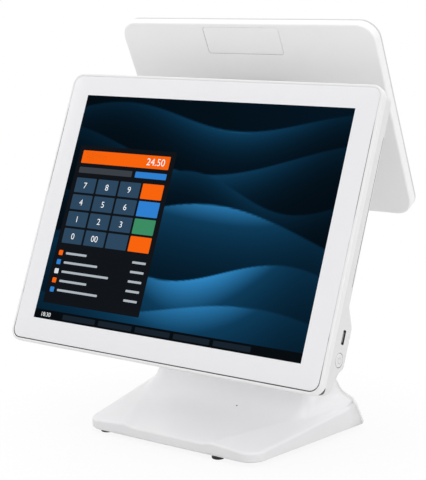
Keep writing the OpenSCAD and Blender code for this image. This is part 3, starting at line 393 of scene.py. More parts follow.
# Gasket in the gap between glass and lip, with painted shade by height: dark at the bottom and along the
# upper side, pale elsewhere
gasket = {"reach": (-1.6, 0.2), "depth": (0.3, 2.6), "steps": 40,
          "height": (92, 104, 112, 126, 130, 134, 222, 236, 296, 312, 330),
          "tone": (0.0, 0.3, 0.75, 0.85, 0.3, 0.85, 0.95, 0.35, 0.3, 0.9, 1.0)}


def gasketShape(s):
    # a thin rectangular profile carried round the glass, with points along its straights for the tone
    (a, b), (c, d) = s["reach"], s["depth"]
    rings = carryRound([(a, c), (b, c), (b, d), (a, d), (a, c)], frontFrame["glass"], frontFrame["up"])
    k = np.linspace(0, 1, s["steps"], endpoint=False)[:, None]
    rings = rings[:, :, None] + (np.roll(rings, -1, 1) - rings)[:, :, None] * k
    return loft(onPanel(rings.reshape(len(rings), -1, 3), head), ends=False)


seal = newObject("glass_gasket", gasketShape(gasket), "gasket")
# painted shade: the gasket's tone follows its height
tone = np.interp(pointsOf(seal.data)[:, 2] / mm, gasket["height"], gasket["tone"])
paint(seal, "tone", sideBySide(tone, tone, tone, 1.0))
settle(seal, "head", "rubber")

# Cover glass with its white printed border round the picture's opening
coverGlass = {"plate": (347, 269.7, 9), "up": -0.85, "picture": (304, 228), "corner": 0.2, "edge": 0.5,
              "sink": 0.5, "thick": 3.0, "ease": 0.6}
pictureSink = 0.02       # the lit picture lies this far behind the glass's face


def glassShape(panel, s, front, away):
    # rings: floor under the picture, its opening, the front face, the eased edge and the back; away is the
    # sign of the panel's depth behind that face
    width, height, radius = s["plate"]
    opening = roundLoops(*s["picture"], s["corner"])
    rings = [ringAt(opening, front + away * s["sink"]), ringAt(opening, front)]
    easing = quarter(s["edge"] + s["ease"], s["ease"], s["ease"], 180)[::-1]
    for inset, depth in [*easing, (s["edge"], s["thick"])]:
        outline = roundLoops(width - 2 * inset, height - 2 * inset, radius - inset)
        rings.append(ringAt(outline, front + away * depth, up=s["up"]))
    return loft(onPanel(rings, panel))


addPiece("cover_glass", glassShape(head, coverGlass, 0, 1), "inkWhite", "head", "touch_glass", "touch_glass",
         "border_film")

# Wallpaper: overlapping dunes in near black to blue, lighter along their crests and brighter lower down.
# A crest is (level, swing, waves, shift, strength, fall), in shares of the picture.
wallpaper = {"step": 1.25, "deep": "#010508", "mid": "#0C3A58", "light": "#2F86C2", "base": 0.015,
             "lift": 0.05, "blur": 0.006, "side": 0.25, "peak": 1.4,
             "crests": [(0.93, 0.05, 1.1, 0.4, 0.60, 0.06), (0.78, 0.09, 0.8, 2.1, 0.50, 0.07),
                        (0.63, 0.07, 1.3, 4.0, 0.35, 0.06), (0.47, 0.10, 0.7, 5.3, 0.85, 0.14),
                        (0.30, 0.06, 1.2, 1.2, 1.00, 0.20), (0.13, 0.05, 0.9, 3.3, 0.85, 0.20)]}


def duneColours(u, v, s):
    # each dune fills below crest(u) = level + swing * sin(2 pi * waves * u + shift), and fades downwards
    # over its fall; it is brightest between the picture's two sides
    deep, mid, light = (np.array(toLinear(s[k])) for k in ("deep", "mid", "light"))
    glow = s["base"] + s["lift"] * u * v
    inner = s["side"] + (1 - s["side"]) * np.sin(np.pi * u ** s["peak"]) ** 2
    for level, swing, waves, shift, strength, fall in s["crests"]:
        under = level + swing * np.sin(2 * np.pi * waves * u + shift) - v
        dune = s["base"] + strength * np.exp(-np.maximum(under, 0) / fall) * inner
        cover = np.clip(under / s["blur"], 0, 1)
        glow = glow * (1 - cover) + cover * dune
    g = np.clip(glow, 0, 1)[..., None]
    return np.where(g < 0.5, mix(deep, mid, g * 2), mix(mid, light, g * 2 - 1))


def pictureSheet(name, panel, size, depth, s):
    # a flat grid over the picture with the dunes painted on its points
    u = np.linspace(0, 1, int(size[0] / s["step"]) + 1)
    v = np.linspace(0, 1, int(size[1] / s["step"]) + 1)
    uu, vv = np.meshgrid(u, v)
    flat = sideBySide((uu - 0.5) * size[0], depth, (vv - 0.5) * size[1])
    mesh = (onPanel(flat, panel).reshape(-1, 3), gridFaces(len(v), len(u), False))
    sheet = newObject(name, mesh, "screen")
    paint(sheet, "picture", duneColours(uu.ravel(), vv.ravel(), s))
    return sheet


picture = pictureSheet("screen_picture", head, coverGlass["picture"], pictureSink, wallpaper)
settle(picture, "head", "screen", "lcd_cell")

# Sale screen: plain bars, blocks and keys as (left, low, width, height, colour) in mm from the lower left
saleScreen = {"lift": 0.04, "corner": 0.8, "digits": "#F4F6F8", "panel": (7, 16, 118, 160),
              "total": (12, 158, 107.2, 13), "label": (12, 148, 66, 6), "choice": (82, 148, 37.2, 6)}
screenInk = {"orange": "#F8640A", "blue": "#2F7FD0", "green": "#3C8C63", "key": "#2C475E", "line": "#AEB6BE",
             "pale": "#D9DEE3", "grey": "#3B4046", "panel": "#101317", "strip": "#060A0E", "task": "#17222C"}
keyPad = {"left": 12, "top": 128, "pitch": (27.4, 17.2), "key": (25, 15), "count": 4, "figures": 6.0,
          "figureHalf": 2.3, "last": ("orange", "blue", "green", "orange")}
saleRows = {"count": 5, "top": 64, "pitch": 9.2, "left": 12, "icon": (5, 5), "text": 21, "rise": 1.4,
            "thick": 2.2, "least": 26, "longer": 8, "price": 103, "priceWidth": 16,
            "inks": ("orange", "blue", "pale")}
taskStrip = {"height": 9, "left": 36, "low": 2, "pitch": 44, "task": (40, 5), "count": 5}


def keyCorner(column, row):
    # left and low of a key, counted from the upper left
    return keyPad["left"] + column * keyPad["pitch"][0], keyPad["top"] - row * keyPad["pitch"][1]


def saleLayout(s, keys, rows, tasks):
    # back to front: strip, panel, head bars, keys, rows of goods and the tasks in the strip
    tiles = [(0, 0, coverGlass["picture"][0], tasks["height"], "strip"), (*s["panel"], "panel"),
             (*s["total"], "orange"), (*s["label"], "grey"), (*s["choice"], "blue")]
    for row in range(keys["count"]):
        for column in range(keys["count"]):
            ink = keys["last"][row] if column == keys["count"] - 1 else "key"
            tiles.append((*keyCorner(column, row), *keys["key"], ink))
    for row in range(rows["count"]):
        low = rows["top"] - row * rows["pitch"]
        length = rows["least"] + rows["longer"] * (row * 2 % rows["count"])
        tiles += [(rows["left"], low, *rows["icon"], rows["inks"][row % len(rows["inks"])]),
                  (rows["text"], low + rows["rise"], length, rows["thick"], "line"),
                  (rows["price"], low + rows["rise"], rows["priceWidth"], rows["thick"], "line")]
    for i in range(tasks["count"]):
        tiles.append((tasks["left"] + tasks["pitch"] * i, tasks["low"], *tasks["task"], "task"))
    return tiles


def tileSheet(name, panel, size, depth, tiles, corner):
    # every tile is one flat rounded rectangle; each lies a hair in front of the one before
    cornerShare, layers = 0.3, 0.01
    left, low, width, height = np.array([tile[:4] for tile in tiles], float).T
    loops = roundLoops(width, height, np.minimum(corner, np.minimum(width, height) * cornerShare), arc=4)
    x = loops[..., 0] + (left + width / 2 - size[0] / 2)[:, None]
    up = loops[..., 1] + (low + height / 2 - size[1] / 2)[:, None]
    layer = depth - layers * np.arange(len(tiles))[:, None] / len(tiles)
    points = onPanel(sideBySide(x, layer, up), panel).reshape(-1, 3)
    faces = np.arange(len(points)).reshape(len(tiles), -1).tolist()
    sheet = newObject(name, (points, faces), "screen")
    each = len(sheet.data.vertices) // len(tiles)
    paint(sheet, "picture", np.repeat([toLinear(screenInk[tile[4]]) for tile in tiles], each, axis=0))
    return sheet


def digitSheet(name, panel, size, depth, words, colour):
    # plain figures: each text becomes a mesh, is scaled to its height and moved to its place
    capHeight = 0.7      # of the typeface, at a text size of 1
    shapes = []
    for text, left, low, height in words:
        curve = bpy.data.curves.new("figures", "FONT")
        curve.body = text
        holder = bpy.data.objects.new("figures", curve)
        flat = bpy.data.meshes.new_from_object(holder)
        bpy.data.objects.remove(holder)
        xy = pointsOf(flat)[:, :2] * height / capHeight
        x, up = xy[:, 0] + left - size[0] / 2, xy[:, 1] + low - size[1] / 2
        points = onPanel(sideBySide(x, depth, up), panel)
        shapes.append((points, [list(face.vertices) for face in flat.polygons]))
    sheet = newObject(name, joined(shapes), "screen")
    paint(sheet, "picture", np.tile(toLinear(colour), (len(sheet.data.vertices), 1)))
    return sheet


def keySpot(column, row, figures):
    # where the figures start so that they stand in the middle of their key, and their height
    left, low = keyCorner(column, row)
    (width, height), tall = keyPad["key"], keyPad["figures"]
    return left + width / 2 - figures * keyPad["figureHalf"], low + (height - tall) / 2, tall


# figures as (text, left, low, height): nine keys, the two below them, the total and the time
figures = [(str(7 - 3 * (i // 3) + i % 3), *keySpot(i % 3, i // 3, 1)) for i in range(9)]
figures += [("0", *keySpot(0, 3, 1)), ("00", *keySpot(1, 3, 2))]
figures += [("24.50", 92, 161.2, 7.0), ("18:30", 8, 2.6, 4.0)]
screenTiles = tileSheet("screen_tiles", head, coverGlass["picture"], -saleScreen["lift"],
                        saleLayout(saleScreen, keyPad, saleRows, taskStrip), saleScreen["corner"])
screenFigures = digitSheet("screen_figures", head, coverGlass["picture"], -2 * saleScreen["lift"], figures,
                           saleScreen["digits"])
settle(screenTiles, "head", "screen")
settle(screenFigures, "head", "screen")

# Rear housing: thin at the top, swelling towards the bottom, and sloping in to the chin
housing = {"half": 174.0, "low": -136.5, "high": 134.5, "corner": 9.0, "front": 8.5, "ease": 2.0,
           "backUp": (-136.5, -109, -72, -56, 134.5), "backDepth": (26, 40, 40, 25.5, 23.8),
           "sideUp": (-136.5, -122, -114.5, -109, -73, -57, 134.5),
           "sideDepth": (24, 28.4, 31.0, 38.8, 38.8, 25.5, 23.8), "sideFrom": 108, "sideTo": 150,
           "edge": (4.0, 5.0), "leastWall": 1.0, "outside": 180}
housingSteps = {"across": 25, "bendsEnd": -40, "bends": 54, "straight": 16, "corner": 9, "wall": 4,
                "edge": 7, "margin": 4, "window": 15}
vents = {"x": 100, "pitch": 8, "count": 9, "width": 3, "length": 34, "up": 40, "depths": (19, 40)}
grilles = {"x": 128, "pitch": 6, "count": 5, "width": 3, "length": 18, "up": -90.5, "depths": (38, 60)}
housingScrews = {"x": 167.25, "up": (108, 30, -44), "radius": 3.1, "depths": (15.6, 60)}
sideSeam = {"depth": 20.5, "up": 27.5, "length": 135, "width": 0.6, "round": 0.2, "deep": 0.8}
sideSocket = {"depth": 24, "up": -83.5, "length": 13.0, "height": 4.7, "round": 1.1, "reach": 15,
              "tongue": (1.8, 9.0, 0.4), "tongueEnd": 173.4}
powerButton = {"depth": 24.5, "up": -103.5, "radius": 6.2, "gap": 0.35, "top": 174.6, "seat": 168.5,
               "well": 2.5, "slack": 0.01, "rim": 0.8, "crown": 0.3}


def backDepth(x, up, s):
    # the outline's depth at a height, averaged over a short window so that its corners are rounded; it runs
    # smoothly from the middle's outline, full behind the sockets, to the shallower one of the sides
    window = np.asarray(up)[..., None] + np.linspace(-s["ease"], s["ease"], housingSteps["window"])
    middle = np.interp(window, s["backUp"], s["backDepth"]).mean(-1)
    side = np.interp(window, s["sideUp"], s["sideDepth"]).mean(-1)
    k = np.clip((np.abs(x) - s["sideFrom"]) / (s["sideTo"] - s["sideFrom"]), 0, 1)
    return middle + (side - middle) * k ** 2 * (3 - 2 * k)


def housingLoops(inset, s, steps):
    # rounded rectangles with points along their sides, inset by the amounts in each row
    centreX, low, high = s["half"] - s["corner"], s["low"] + s["corner"], s["high"] - s["corner"]
    xLine = np.linspace(-1, 1, steps["across"]) * centreX
    upLine = np.concatenate([np.linspace(low, steps["bendsEnd"], steps["bends"]),
                             np.linspace(steps["bendsEnd"], high, steps["straight"])[1:]])
    turn = np.radians(np.linspace(0, 90, steps["corner"]))[1:-1]
    # each part is (x, up, outwards in x, outwards in up): the right side, then a corner and a side in turn
    corners = [(centreX, high), (-centreX, high), (-centreX, low), (centreX, low)]
    sides = [(xLine[::-1], high, 0, 1), (-centreX, upLine[::-1], -1, 0), (xLine, low, 0, -1)]
    parts = [(centreX, upLine, 1, 0)]
    for k, (cx, cy) in enumerate(corners):
        a = turn + k * math.pi / 2
        parts += [(cx, cy, np.cos(a), np.sin(a)), *sides[k:k + 1]]
    x, up, nx, ny = (np.concatenate(p) for p in zip(*(np.broadcast_arrays(*part) for part in parts)))
    reach = s["corner"] - inset
    return x + nx * reach, up + ny * reach, xLine, upLine


def housingShape(s, steps):
    # side wall, quarter-round edge of radius e(up), margin of the back, then the back as a grid
    edgeX, edgeUp, xLine, upLine = housingLoops(np.zeros((1, 1)), s, steps)
    thin, thick = s["backDepth"][-2], max(s["backDepth"])
    full = backDepth(edgeX, edgeUp, s)
    swell = np.clip((full - thin) / (thick - thin), 0, 1)
    edge = np.minimum(mix(*s["edge"], swell), full - s["front"] - s["leastWall"])
    wall = np.linspace(0, 1, steps["wall"])[:, None]
    turn = np.radians(np.linspace(0, 90, steps["edge"] + 1))[1:, None]
    margin = np.linspace(0, 1, steps["margin"] + 1)[1:, None]
    inset = np.concatenate([0 * wall * edge, edge * (1 - np.cos(turn)), mix(edge, s["corner"], margin)])
    x, up, _, _ = housingLoops(inset, s, steps)
    depth = backDepth(x, up, s)
    first, last = steps["wall"], steps["wall"] + steps["edge"]
    depth[:first] = s["front"] + (depth[:first] - edge - s["front"]) * wall
    depth[first:last] -= edge * (1 - np.sin(turn))
    rim = loft(onPanel(sideBySide(x, depth, up), head), ends=False)
    rim[1].append(list(range(x.shape[1])))
    gx, gu = np.meshgrid(xLine, upLine)
    back = onPanel(sideBySide(gx, backDepth(gx, gu, s), gu), head)
    return joined([rim, (back.reshape(-1, 3), gridFaces(len(upLine), len(xLine), False))])


def backPrism(loop, x, up, depths):
    # a loop of (x, up) about a place on the head, carried straight from one depth to the other
    return loft(onPanel([ringAt(loop, depth, x, up) for depth in depths], head))


def slotRows(s):
    # two rows of upright slots with round ends
    endShare = 0.48
    x = (np.arange(s["count"]) - (s["count"] - 1) / 2) * s["pitch"]
    loop = roundLoops(s["width"], s["length"], s["width"] * endShare, arc=6)
    places = np.concatenate([x - s["x"], x + s["x"]])
    return joined([backPrism(loop, place, s["up"], s["depths"]) for place in places])


def roundHoles(s):
    # one round recess for each housing screw
    roundShare = 0.999   # just under a full circle, so that the four arcs don't meet
    loop = roundLoops(2 * s["radius"], 2 * s["radius"], s["radius"] * roundShare, arc=7)
    return joined([backPrism(loop, x, up, s["depths"]) for x in (-s["x"], s["x"]) for up in s["up"]])


def sidePrism(s, loop, near, far):
    # a loop of (depth, up) about a place on the side wall, carried along X
    rings = [sideBySide(x, loop[:, 0] + s["depth"], loop[:, 1] + s["up"]) for x in (near, far)]
    return loft(onPanel(rings, head))


socketLoop = roundLoops(sideSocket["height"], sideSocket["length"], sideSocket["round"], arc=4)
socketFloor = housing["half"] - sideSocket["reach"]
seamLoop = roundLoops(sideSeam["width"], sideSeam["length"], sideSeam["round"], arc=3)
wellRadius = powerButton["radius"] + powerButton["gap"]
wellLoop = roundLoops(2 * wellRadius, 2 * wellRadius, wellRadius - powerButton["slack"])   # arcs don't meet
wellFloor = powerButton["seat"] - powerButton["well"]
# painted shade: the walls of the vents, grilles, screw holes, seam grooves and the button's well are dark,
# and the socket's opening is black
housingCuts = [(slotRows(vents), "slotDark"), (slotRows(grilles), "slotDark"),
               (roundHoles(housingScrews), "slotDark"),
               (sidePrism(sideSocket, socketLoop, socketFloor, housing["outside"]), "black")]
for wallX in (-housing["half"], housing["half"]):
    groove = sidePrism(sideSeam, seamLoop, wallX - sideSeam["deep"], wallX + sideSeam["deep"])
    housingCuts.append((groove, "slotDark"))
housingCuts.append((sidePrism(powerButton, wellLoop, wellFloor, housing["outside"]), "slotDark"))
rear = newObject("rear_housing_shell", housingShape(housing, housingSteps), "housingWhite")
for shape, look in housingCuts:
    cutAway(rear, shape, look)
settle(rear, "head", "housing_plastic", "rear_housing")
tongueLoop = roundLoops(*sideSocket["tongue"], arc=4)
tongueShape = sidePrism(sideSocket, tongueLoop, socketFloor, sideSocket["tongueEnd"])
addPiece("side_socket_tongue", tongueShape, "tongue", "head", "black_plastic")


def turnedAlongX(profile, s):
    # a profile of (radius, x) turned about an axis along X at the given depth and height
    radius, x = np.asarray(profile, float).T
    a = fullTurn(48)
    depth = s["depth"] + radius[:, None] * np.cos(a)
    up = s["up"] + radius[:, None] * np.sin(a)
    return loft(onPanel(sideBySide(x[:, None], depth, up), head))


def buttonProfile(s):
    # a crowned face, which falls with the square of the radius, then a rounded rim and the flat seat
    flat = s["radius"] - s["rim"]
    r = np.linspace(axisGap, flat, 7)
    face = sideBySide(r, s["top"] - s["crown"] * (r / s["radius"]) ** 2)
    rim = quarter(flat, face[-1, 1] - s["rim"], s["rim"], 0)[::-1]
    return np.concatenate([face, rim, [(s["radius"], s["seat"]), (axisGap, s["seat"])]])


addPiece("power_button_cap", turnedAlongX(buttonProfile(powerButton), powerButton), "housingWhite",
         "power_button", "white_plastic", "power_button")

# Power mark: an open ring and a bar, as low beads on the button's face
powerMark = {"radius": 2.7, "turn": (125, 415), "bar": (0.4, 3.5), "bead": 0.42, "flat": 0.35, "sunk": 0.12}


def beadAlong(path, s):
    # an oval bead along a path of (depth, up) from the button's middle
    path = path + (powerButton["depth"], powerButton["up"])
    along = np.gradient(path, axis=0)
    along /= np.linalg.norm(along, axis=1, keepdims=True)
    a = fullTurn(8)
    side = sideBySide(-along[:, 1], along[:, 0])
    flat = path[:, None, :] + s["bead"] * np.cos(a)[None, :, None] * side[:, None, :]
    x = powerButton["top"] - s["sunk"] + s["flat"] * s["bead"] * np.sin(a)
    return loft(onPanel(sideBySide(x, flat[..., 0], flat[..., 1]), head))


ringTurn = np.radians(np.linspace(*powerMark["turn"], 40))
ringPath = powerMark["radius"] * sideBySide(np.cos(ringTurn), np.sin(ringTurn))
barPath = sideBySide(0.0, np.linspace(*powerMark["bar"], 6))
markShape = joined([beadAlong(ringPath, powerMark), beadAlong(barPath, powerMark)])
addPiece("power_mark", markShape, "mark", "power_button", "white_plastic")

# Customer display: rear shell with rounded edges, a flush cover plate, a front frame and its glass
rearShell = {"size": (289, 205, 18), "edge": 1.8, "depth": 9.6, "seam": 0.35}
flushCover = {"size": (86, 28, 3), "up": 84.5, "gap": 0.3, "deep": 1.2, "ease": 0.25, "mouth": 2}
thinFrame = {"front": 12.4, "edge": 1.3, "lip": 2.7, "sink": 1.4, "ledge": 2}
customerGlass = {"plate": (283, 199, 15), "up": 0.0, "picture": (256, 144), "corner": 0.2, "edge": 0.3,
                 "sink": 0.5, "thick": 1.9, "ease": 0.4}


def rearShellShape(s):
    # rings: rear face, quarter-round edge, side wall, and a small seam chamfer at the front
    edge = quarter(-s["edge"], s["edge"], s["edge"], 270)
    wall = [(0, s["depth"] - s["seam"]), (-s["seam"], s["depth"])]
    return roundShape(np.concatenate([edge, wall]), s["size"], customer)


def thinFrameShape(s, shell):
    # closed profile: seam chamfer, side, rounded front edge, lip, ledge under the glass and back
    d, f, e = shell["depth"], s["front"], s["edge"]
    lip, ledge = -s["lip"], f - s["sink"]
    seam = [(-shell["seam"], d), (0, d + shell["seam"])]
    edge = quarter(-e, f - e, e, 0)
    inner = [(lip, f), (lip, ledge), (lip - s["ledge"], ledge), (lip - s["ledge"], d)]
    profile = np.concatenate([seam, edge, inner, seam[:1]])
    return roundShape(profile, shell["size"], customer, ends=False)


# painted light: the back's white is lighter to offset the shade it lies in
shell = newObject("customer_shell", rearShellShape(rearShell), "shellWhite")
pocket = [(flushCover["gap"], -flushCover["mouth"]), (flushCover["gap"], flushCover["deep"])]
# the pocket's walls take the groove finish: painted shade in the seam round the cover plate
cutAway(shell, roundShape(pocket, flushCover["size"], customer, flushCover["up"]), "groove")
settle(shell, "customer_display", "white_plastic", "customer_rear_shell")
coverEase = flushCover["ease"]
coverEdge = [*quarter(-coverEase, coverEase, coverEase, 270), (0, flushCover["deep"])]
addPiece("customer_cover_plate", roundShape(coverEdge, flushCover["size"], customer, flushCover["up"]),
         "shellWhite", "customer_display", "white_plastic", "customer_cover")
addPiece("customer_front_frame", thinFrameShape(thinFrame, rearShell), "trimGrey", "customer_display",
         "white_plastic", "customer_frame")
addPiece("customer_pane", glassShape(customer, customerGlass, thinFrame["front"], -1), "inkWhite",
         "customer_display", "touch_glass", "customer_glass", "customer_film")
customerPicture = pictureSheet("customer_picture", customer, customerGlass["picture"],
                               thinFrame["front"] - pictureSink, wallpaper)
settle(customerPicture, "customer_display", "screen", "customer_cell")
print("head and customer display done")

# Stand: rings that start as the foot's outline, climb its edge, cross its top and rise as the neck
foot = {"front": -99.0, "rear": 71.0, "topRear": 60.0, "low": 4.0, "rim": (1.0, 1.5), "frontTop": 16.0,
        "knee": 8.8, "rise": 4.8, "frontHalf": 97.0, "rearHalf": 119.0, "lean": 1.6, "frontCorner": 18.0,
        "rearCorner": 7.0, "edge": 2.2, "wall": 2.4, "seam": 0.5, "crease": 40}
neck = {"y": -31.0, "z": 178.0, "half": 55.0, "radius": 15.0, "footY": 51.0, "footDrop": 4.0, "fillet": 36.0,
        "taperZ": (34.35, 55.0, 163.0), "taperHalf": (102.2, 97.3, 55.0), "swellHalf": 11.0,
        "swellZ": 30.4, "swellFall": 5.5, "startHalf": 94.0, "startCorner": 18.0, "frontCorner": 7.0,
        "rearCorner": 3.0, "topCorner": 4.0, "rearLift": 2.2, "rearEase": 1.25, "crownTurn": 89}
dish = {"ridge": 50.0, "spread": 0.42, "drop": 2.0, "reach": 90.0, "soft": 12.0, "band": 3.5, "least": 6.0,
        "bandEnd": 58.0, "bandFade": 15.0, "fade": 8.0}
outlet = {"half": 20.0, "top": 17.0}
climb = {"edge": 8, "top": 16, "fillet": 18, "neck": 14, "crown": 10}     # rings on each stretch
around = {"front": 22, "corner": 10, "side": 8, "rearCorner": 8, "rear": 8, "outlet": 3}  # points on half
tiny = 1e-6              # keeps a division from zero


def footTop(y):
    # height of the foot's sloping top
    return foot["frontTop"] + (y - foot["front"]) * math.tan(math.radians(foot["rise"]))


def neckHalf(z):
    # half-width of the neck at a height: a taper in two straights, plus a swelling that dies away as a bell
    # curve above the foot
    (z0, z1), (half0, half1) = neck["taperZ"][:2], neck["taperHalf"][:2]
    below = np.maximum(z0 - z, 0) * (half0 - half1) / (z1 - z0)
    taper = np.interp(z, neck["taperZ"], neck["taperHalf"]) + below
    return taper + neck["swellHalf"] * np.exp(-((z - neck["swellZ"]) / neck["swellFall"]) ** 2)


def rearLine(z):
    # y of the rear face at a height: leaning in up the foot, then along the neck's back
    topY, topZ = neckTop[1]
    heights = [foot["low"] + foot["rim"][1], footTop(foot["topRear"]) - neck["footDrop"], topZ]
    return np.interp(z, heights, [foot["rear"], foot["topRear"], topY])


neckFoot = np.array([neck["footY"], footTop(neck["footY"]) - neck["footDrop"]])
neckAxis = np.array([neck["y"], neck["z"]])
neckUp = (neckAxis - neckFoot) / np.linalg.norm(neckAxis - neckFoot)
neckBack = np.array([neckUp[1], -neckUp[0]])
neckTop = (neckAxis - neckBack * neck["radius"], neckAxis + neckBack * neck["radius"])


def filletCentre():
    # the point at one fillet radius from both the foot's top and the neck's front, and the top's normal
    slope = math.radians(foot["rise"])
    topUp = np.array([-math.sin(slope), math.cos(slope)])
    topAlong = np.array([math.cos(slope), math.sin(slope)])
    near = neckTop[0] - neckBack * neck["fillet"]
    start = np.array([foot["front"], foot["frontTop"]]) + topUp * neck["fillet"]
    along = np.linalg.solve(np.stack([topAlong, -neckUp], 1), near - start)[0]
    return start + topAlong * along, topUp


def standRings():
    # one row per ring: front (y, z), rear (y, z), half-widths front and rear, corner radii front and rear
    e, edgeTop = foot["edge"], footTop(foot["topRear"])
    wF, wR, cF, cR = (foot[k] for k in ("frontHalf", "rearHalf", "frontCorner", "rearCorner"))
    y0, y1, low, (inset, lift) = foot["front"], foot["rear"], foot["low"], foot["rim"]
    rows = [(y0 + inset, low, y1 - inset, low, wF - inset, wR - inset, cF - inset, cR - inset),
            (y0, low + lift, y1, low + lift, wF, wR, cF, cR),
            (y0, foot["frontTop"] - foot["knee"], rearLine(outlet["top"]), outlet["top"], wF, wR - inset,
             cF, cR)]
    for a in np.radians(np.linspace(0, 90, climb["edge"])):
        inset, lift = e * (1 - math.cos(a)), e * math.sin(a)
        y, z = y0 + inset, edgeTop - e + lift
        rows.append((y, footTop(y) - e + lift, rearLine(z), z, wF - inset, wR - foot["lean"] - inset,
                     cF - inset, cR - inset / 2))
    # then over the foot's top, round the fillet, up the neck and over its end
    centre, topUp = filletCentre()
    r, c0, c1, c2 = neck["fillet"], neck["startCorner"], neck["frontCorner"], neck["rearCorner"]
    first, last = centre - topUp * r, centre + neckBack * r
    yFirst, _, _, _, wFirst, _, cFirst, cRear = rows[-1]
    wStart, rearStart = neck["startHalf"], edgeTop + neck["rearLift"]
    for k in np.linspace(0, 1, climb["top"])[1:]:
        y, z = mix(yFirst, first[0], k), mix(edgeTop, rearStart, k)
        rows.append((y, footTop(y), rearLine(z), z, mix(wFirst, wStart, k), neckHalf(z),
                     mix(cFirst, c0, k), mix(cRear, c2, k)))
    a0, a1 = math.atan2(*(-topUp)[::-1]), math.atan2(*neckBack[::-1])
    joinZ = last[1] + 2 * neck["radius"] * neckBack[1]
    for k in np.linspace(0, 1, climb["fillet"])[1:]:
        a, rear = mix(a0, a1, k), mix(rearStart, joinZ, k ** neck["rearEase"])
        rows.append((*(centre + r * np.array([math.cos(a), math.sin(a)])), rearLine(rear), rear,
                     mix(wStart, neckHalf(last[1]), k), neckHalf(rear), mix(c0, c1, k), c2))
    for k in np.linspace(0, 1, climb["neck"])[1:]:
        (y, z), rear = mix(last, neckTop[0], k), mix(joinZ, neckTop[1][1], k)
        rows.append((y, z, rearLine(rear), rear, neckHalf(z), neckHalf(rear),
                     mix(c1, neck["topCorner"], k), mix(c2, neck["topCorner"], k)))
    for a in np.radians(np.linspace(0, neck["crownTurn"], climb["crown"]))[1:]:
        rise = neckAxis + neckUp * neck["radius"] * math.sin(a)
        half = neckBack * neck["radius"] * math.cos(a)
        rows.append((*(rise - half), *(rise + half), *[neck["half"]] * 2, *[neck["topCorner"]] * 2))
    return np.array(rows, float)


def cornerArc(point, before, after, radius, steps):
    # the arc of a rounded corner: tangent to both sides, swept about its centre
    bisect = before + after
    bisect /= np.linalg.norm(bisect, axis=1, keepdims=True)
    halfAngle = np.arccos(np.clip((before * bisect).sum(1), -1, 1))
    centre = point + bisect * (radius / np.sin(halfAngle))[:, None]
    first = point + before * (radius / np.tan(halfAngle))[:, None] - centre
    sweep = (math.pi - 2 * halfAngle)[:, None] * np.linspace(0, 1, steps)[None, :]
    c, s = np.cos(sweep), np.sin(sweep)
    return sideBySide(centre[:, :1] + first[:, :1] * c - first[:, 1:] * s,
                      centre[:, 1:] + first[:, :1] * s + first[:, 1:] * c)


def between(a, b, steps):
    # points on the straight from a to b, without its ends
    k = np.linspace(0, 1, steps + 2)[1:-1][None, :, None]
    return a[:, None, :] * (1 - k) + b[:, None, :] * k


def topDrop(x, y, z):
    # relief of the foot's top: two ridges run back and outwards from the front edge; a shallow dish lies
    # between them, deepest at the front, and outside them a band slopes down to the sides' crease
    back = y - foot["front"]
    length, spread = foot["rear"] - foot["front"], foot["rearHalf"] - foot["frontHalf"]
    outer = foot["frontHalf"] + spread * back / length
    ridge = np.minimum(dish["ridge"] + dish["spread"] * back, outer - dish["least"])
    within = np.clip((ridge - np.abs(x)) / dish["soft"], 0, 1)
    hollow = dish["drop"] * within ** 2 * (3 - 2 * within) * np.clip(1 - back / dish["reach"], 0, 1)
    beyond = np.clip((np.abs(x) - ridge) / (outer - ridge), 0, 1)
    band = dish["band"] * beyond * np.clip((dish["bandEnd"] - y) / dish["bandFade"], 0, 1)
    # it dies away down the outer walls and up the neck
    below = np.clip((z - foot["low"]) / dish["fade"], 0, 1)
    above = np.clip(1 - (z - footTop(y)) / dish["fade"], 0, 1)
    return (hollow + band) * (below * above)


def standGrids():
    # half of each ring in its own plane (x, along): front, front corner, side, rear corner and rear; then
    # its mirrored half. Front shell and rear cover part where the rear corner starts.
    cornerShare = 0.45   # of the ring's depth, the most that a corner takes
    rows = standRings()
    front, rear, wF, wR = rows[:, 0:2], rows[:, 2:4], rows[:, 4], rows[:, 5]
    span = np.linalg.norm(rear - front, axis=1)
    rF, rR = (np.minimum(rows[:, i], span * cornerShare) for i in (6, 7))
    zero = np.zeros_like(span)
    start, end = sideBySide(zero, zero), sideBySide(zero, span)
    nearCorner, farCorner = sideBySide(wF, zero), sideBySide(wR, span)
    side = (farCorner - nearCorner) / np.linalg.norm(farCorner - nearCorner, axis=1, keepdims=True)
    inward = sideBySide(zero - 1, zero)
    a1 = cornerArc(nearCorner, inward, side, rF, around["corner"])
    a2 = cornerArc(farCorner, -side, inward, rR, around["rearCorner"])
    gap = sideBySide(outlet["half"], span)
    fore = np.concatenate([start[:, None], between(start, a1[:, 0], around["front"]), a1,
                           between(a1[:, -1], a2[:, 0], around["side"])], 1)
    aft = np.concatenate([a2, between(a2[:, -1], gap, around["rear"]), gap[:, None],
                          between(gap, end, around["outlet"]), end[:, None]], 1)
    half, seam = np.concatenate([fore, aft], 1), fore.shape[1]
    ring = np.concatenate([half, half[:, -2:0:-1] * np.array([-1, 1])], 1)
    along = (rear - front) / np.maximum(span, tiny)[:, None]
    points = np.concatenate([ring[..., :1], front[:, None] + ring[..., 1:] * along[:, None]], -1)
    points[..., 2] -= topDrop(*np.moveaxis(points, -1, 0))
    columns = points.shape[1]
    fore = np.concatenate([points[:, columns - seam:], points[:, :seam + 1]], 1)
    return drawnIn(fore), drawnIn(points[:, seam:columns - seam + 1])


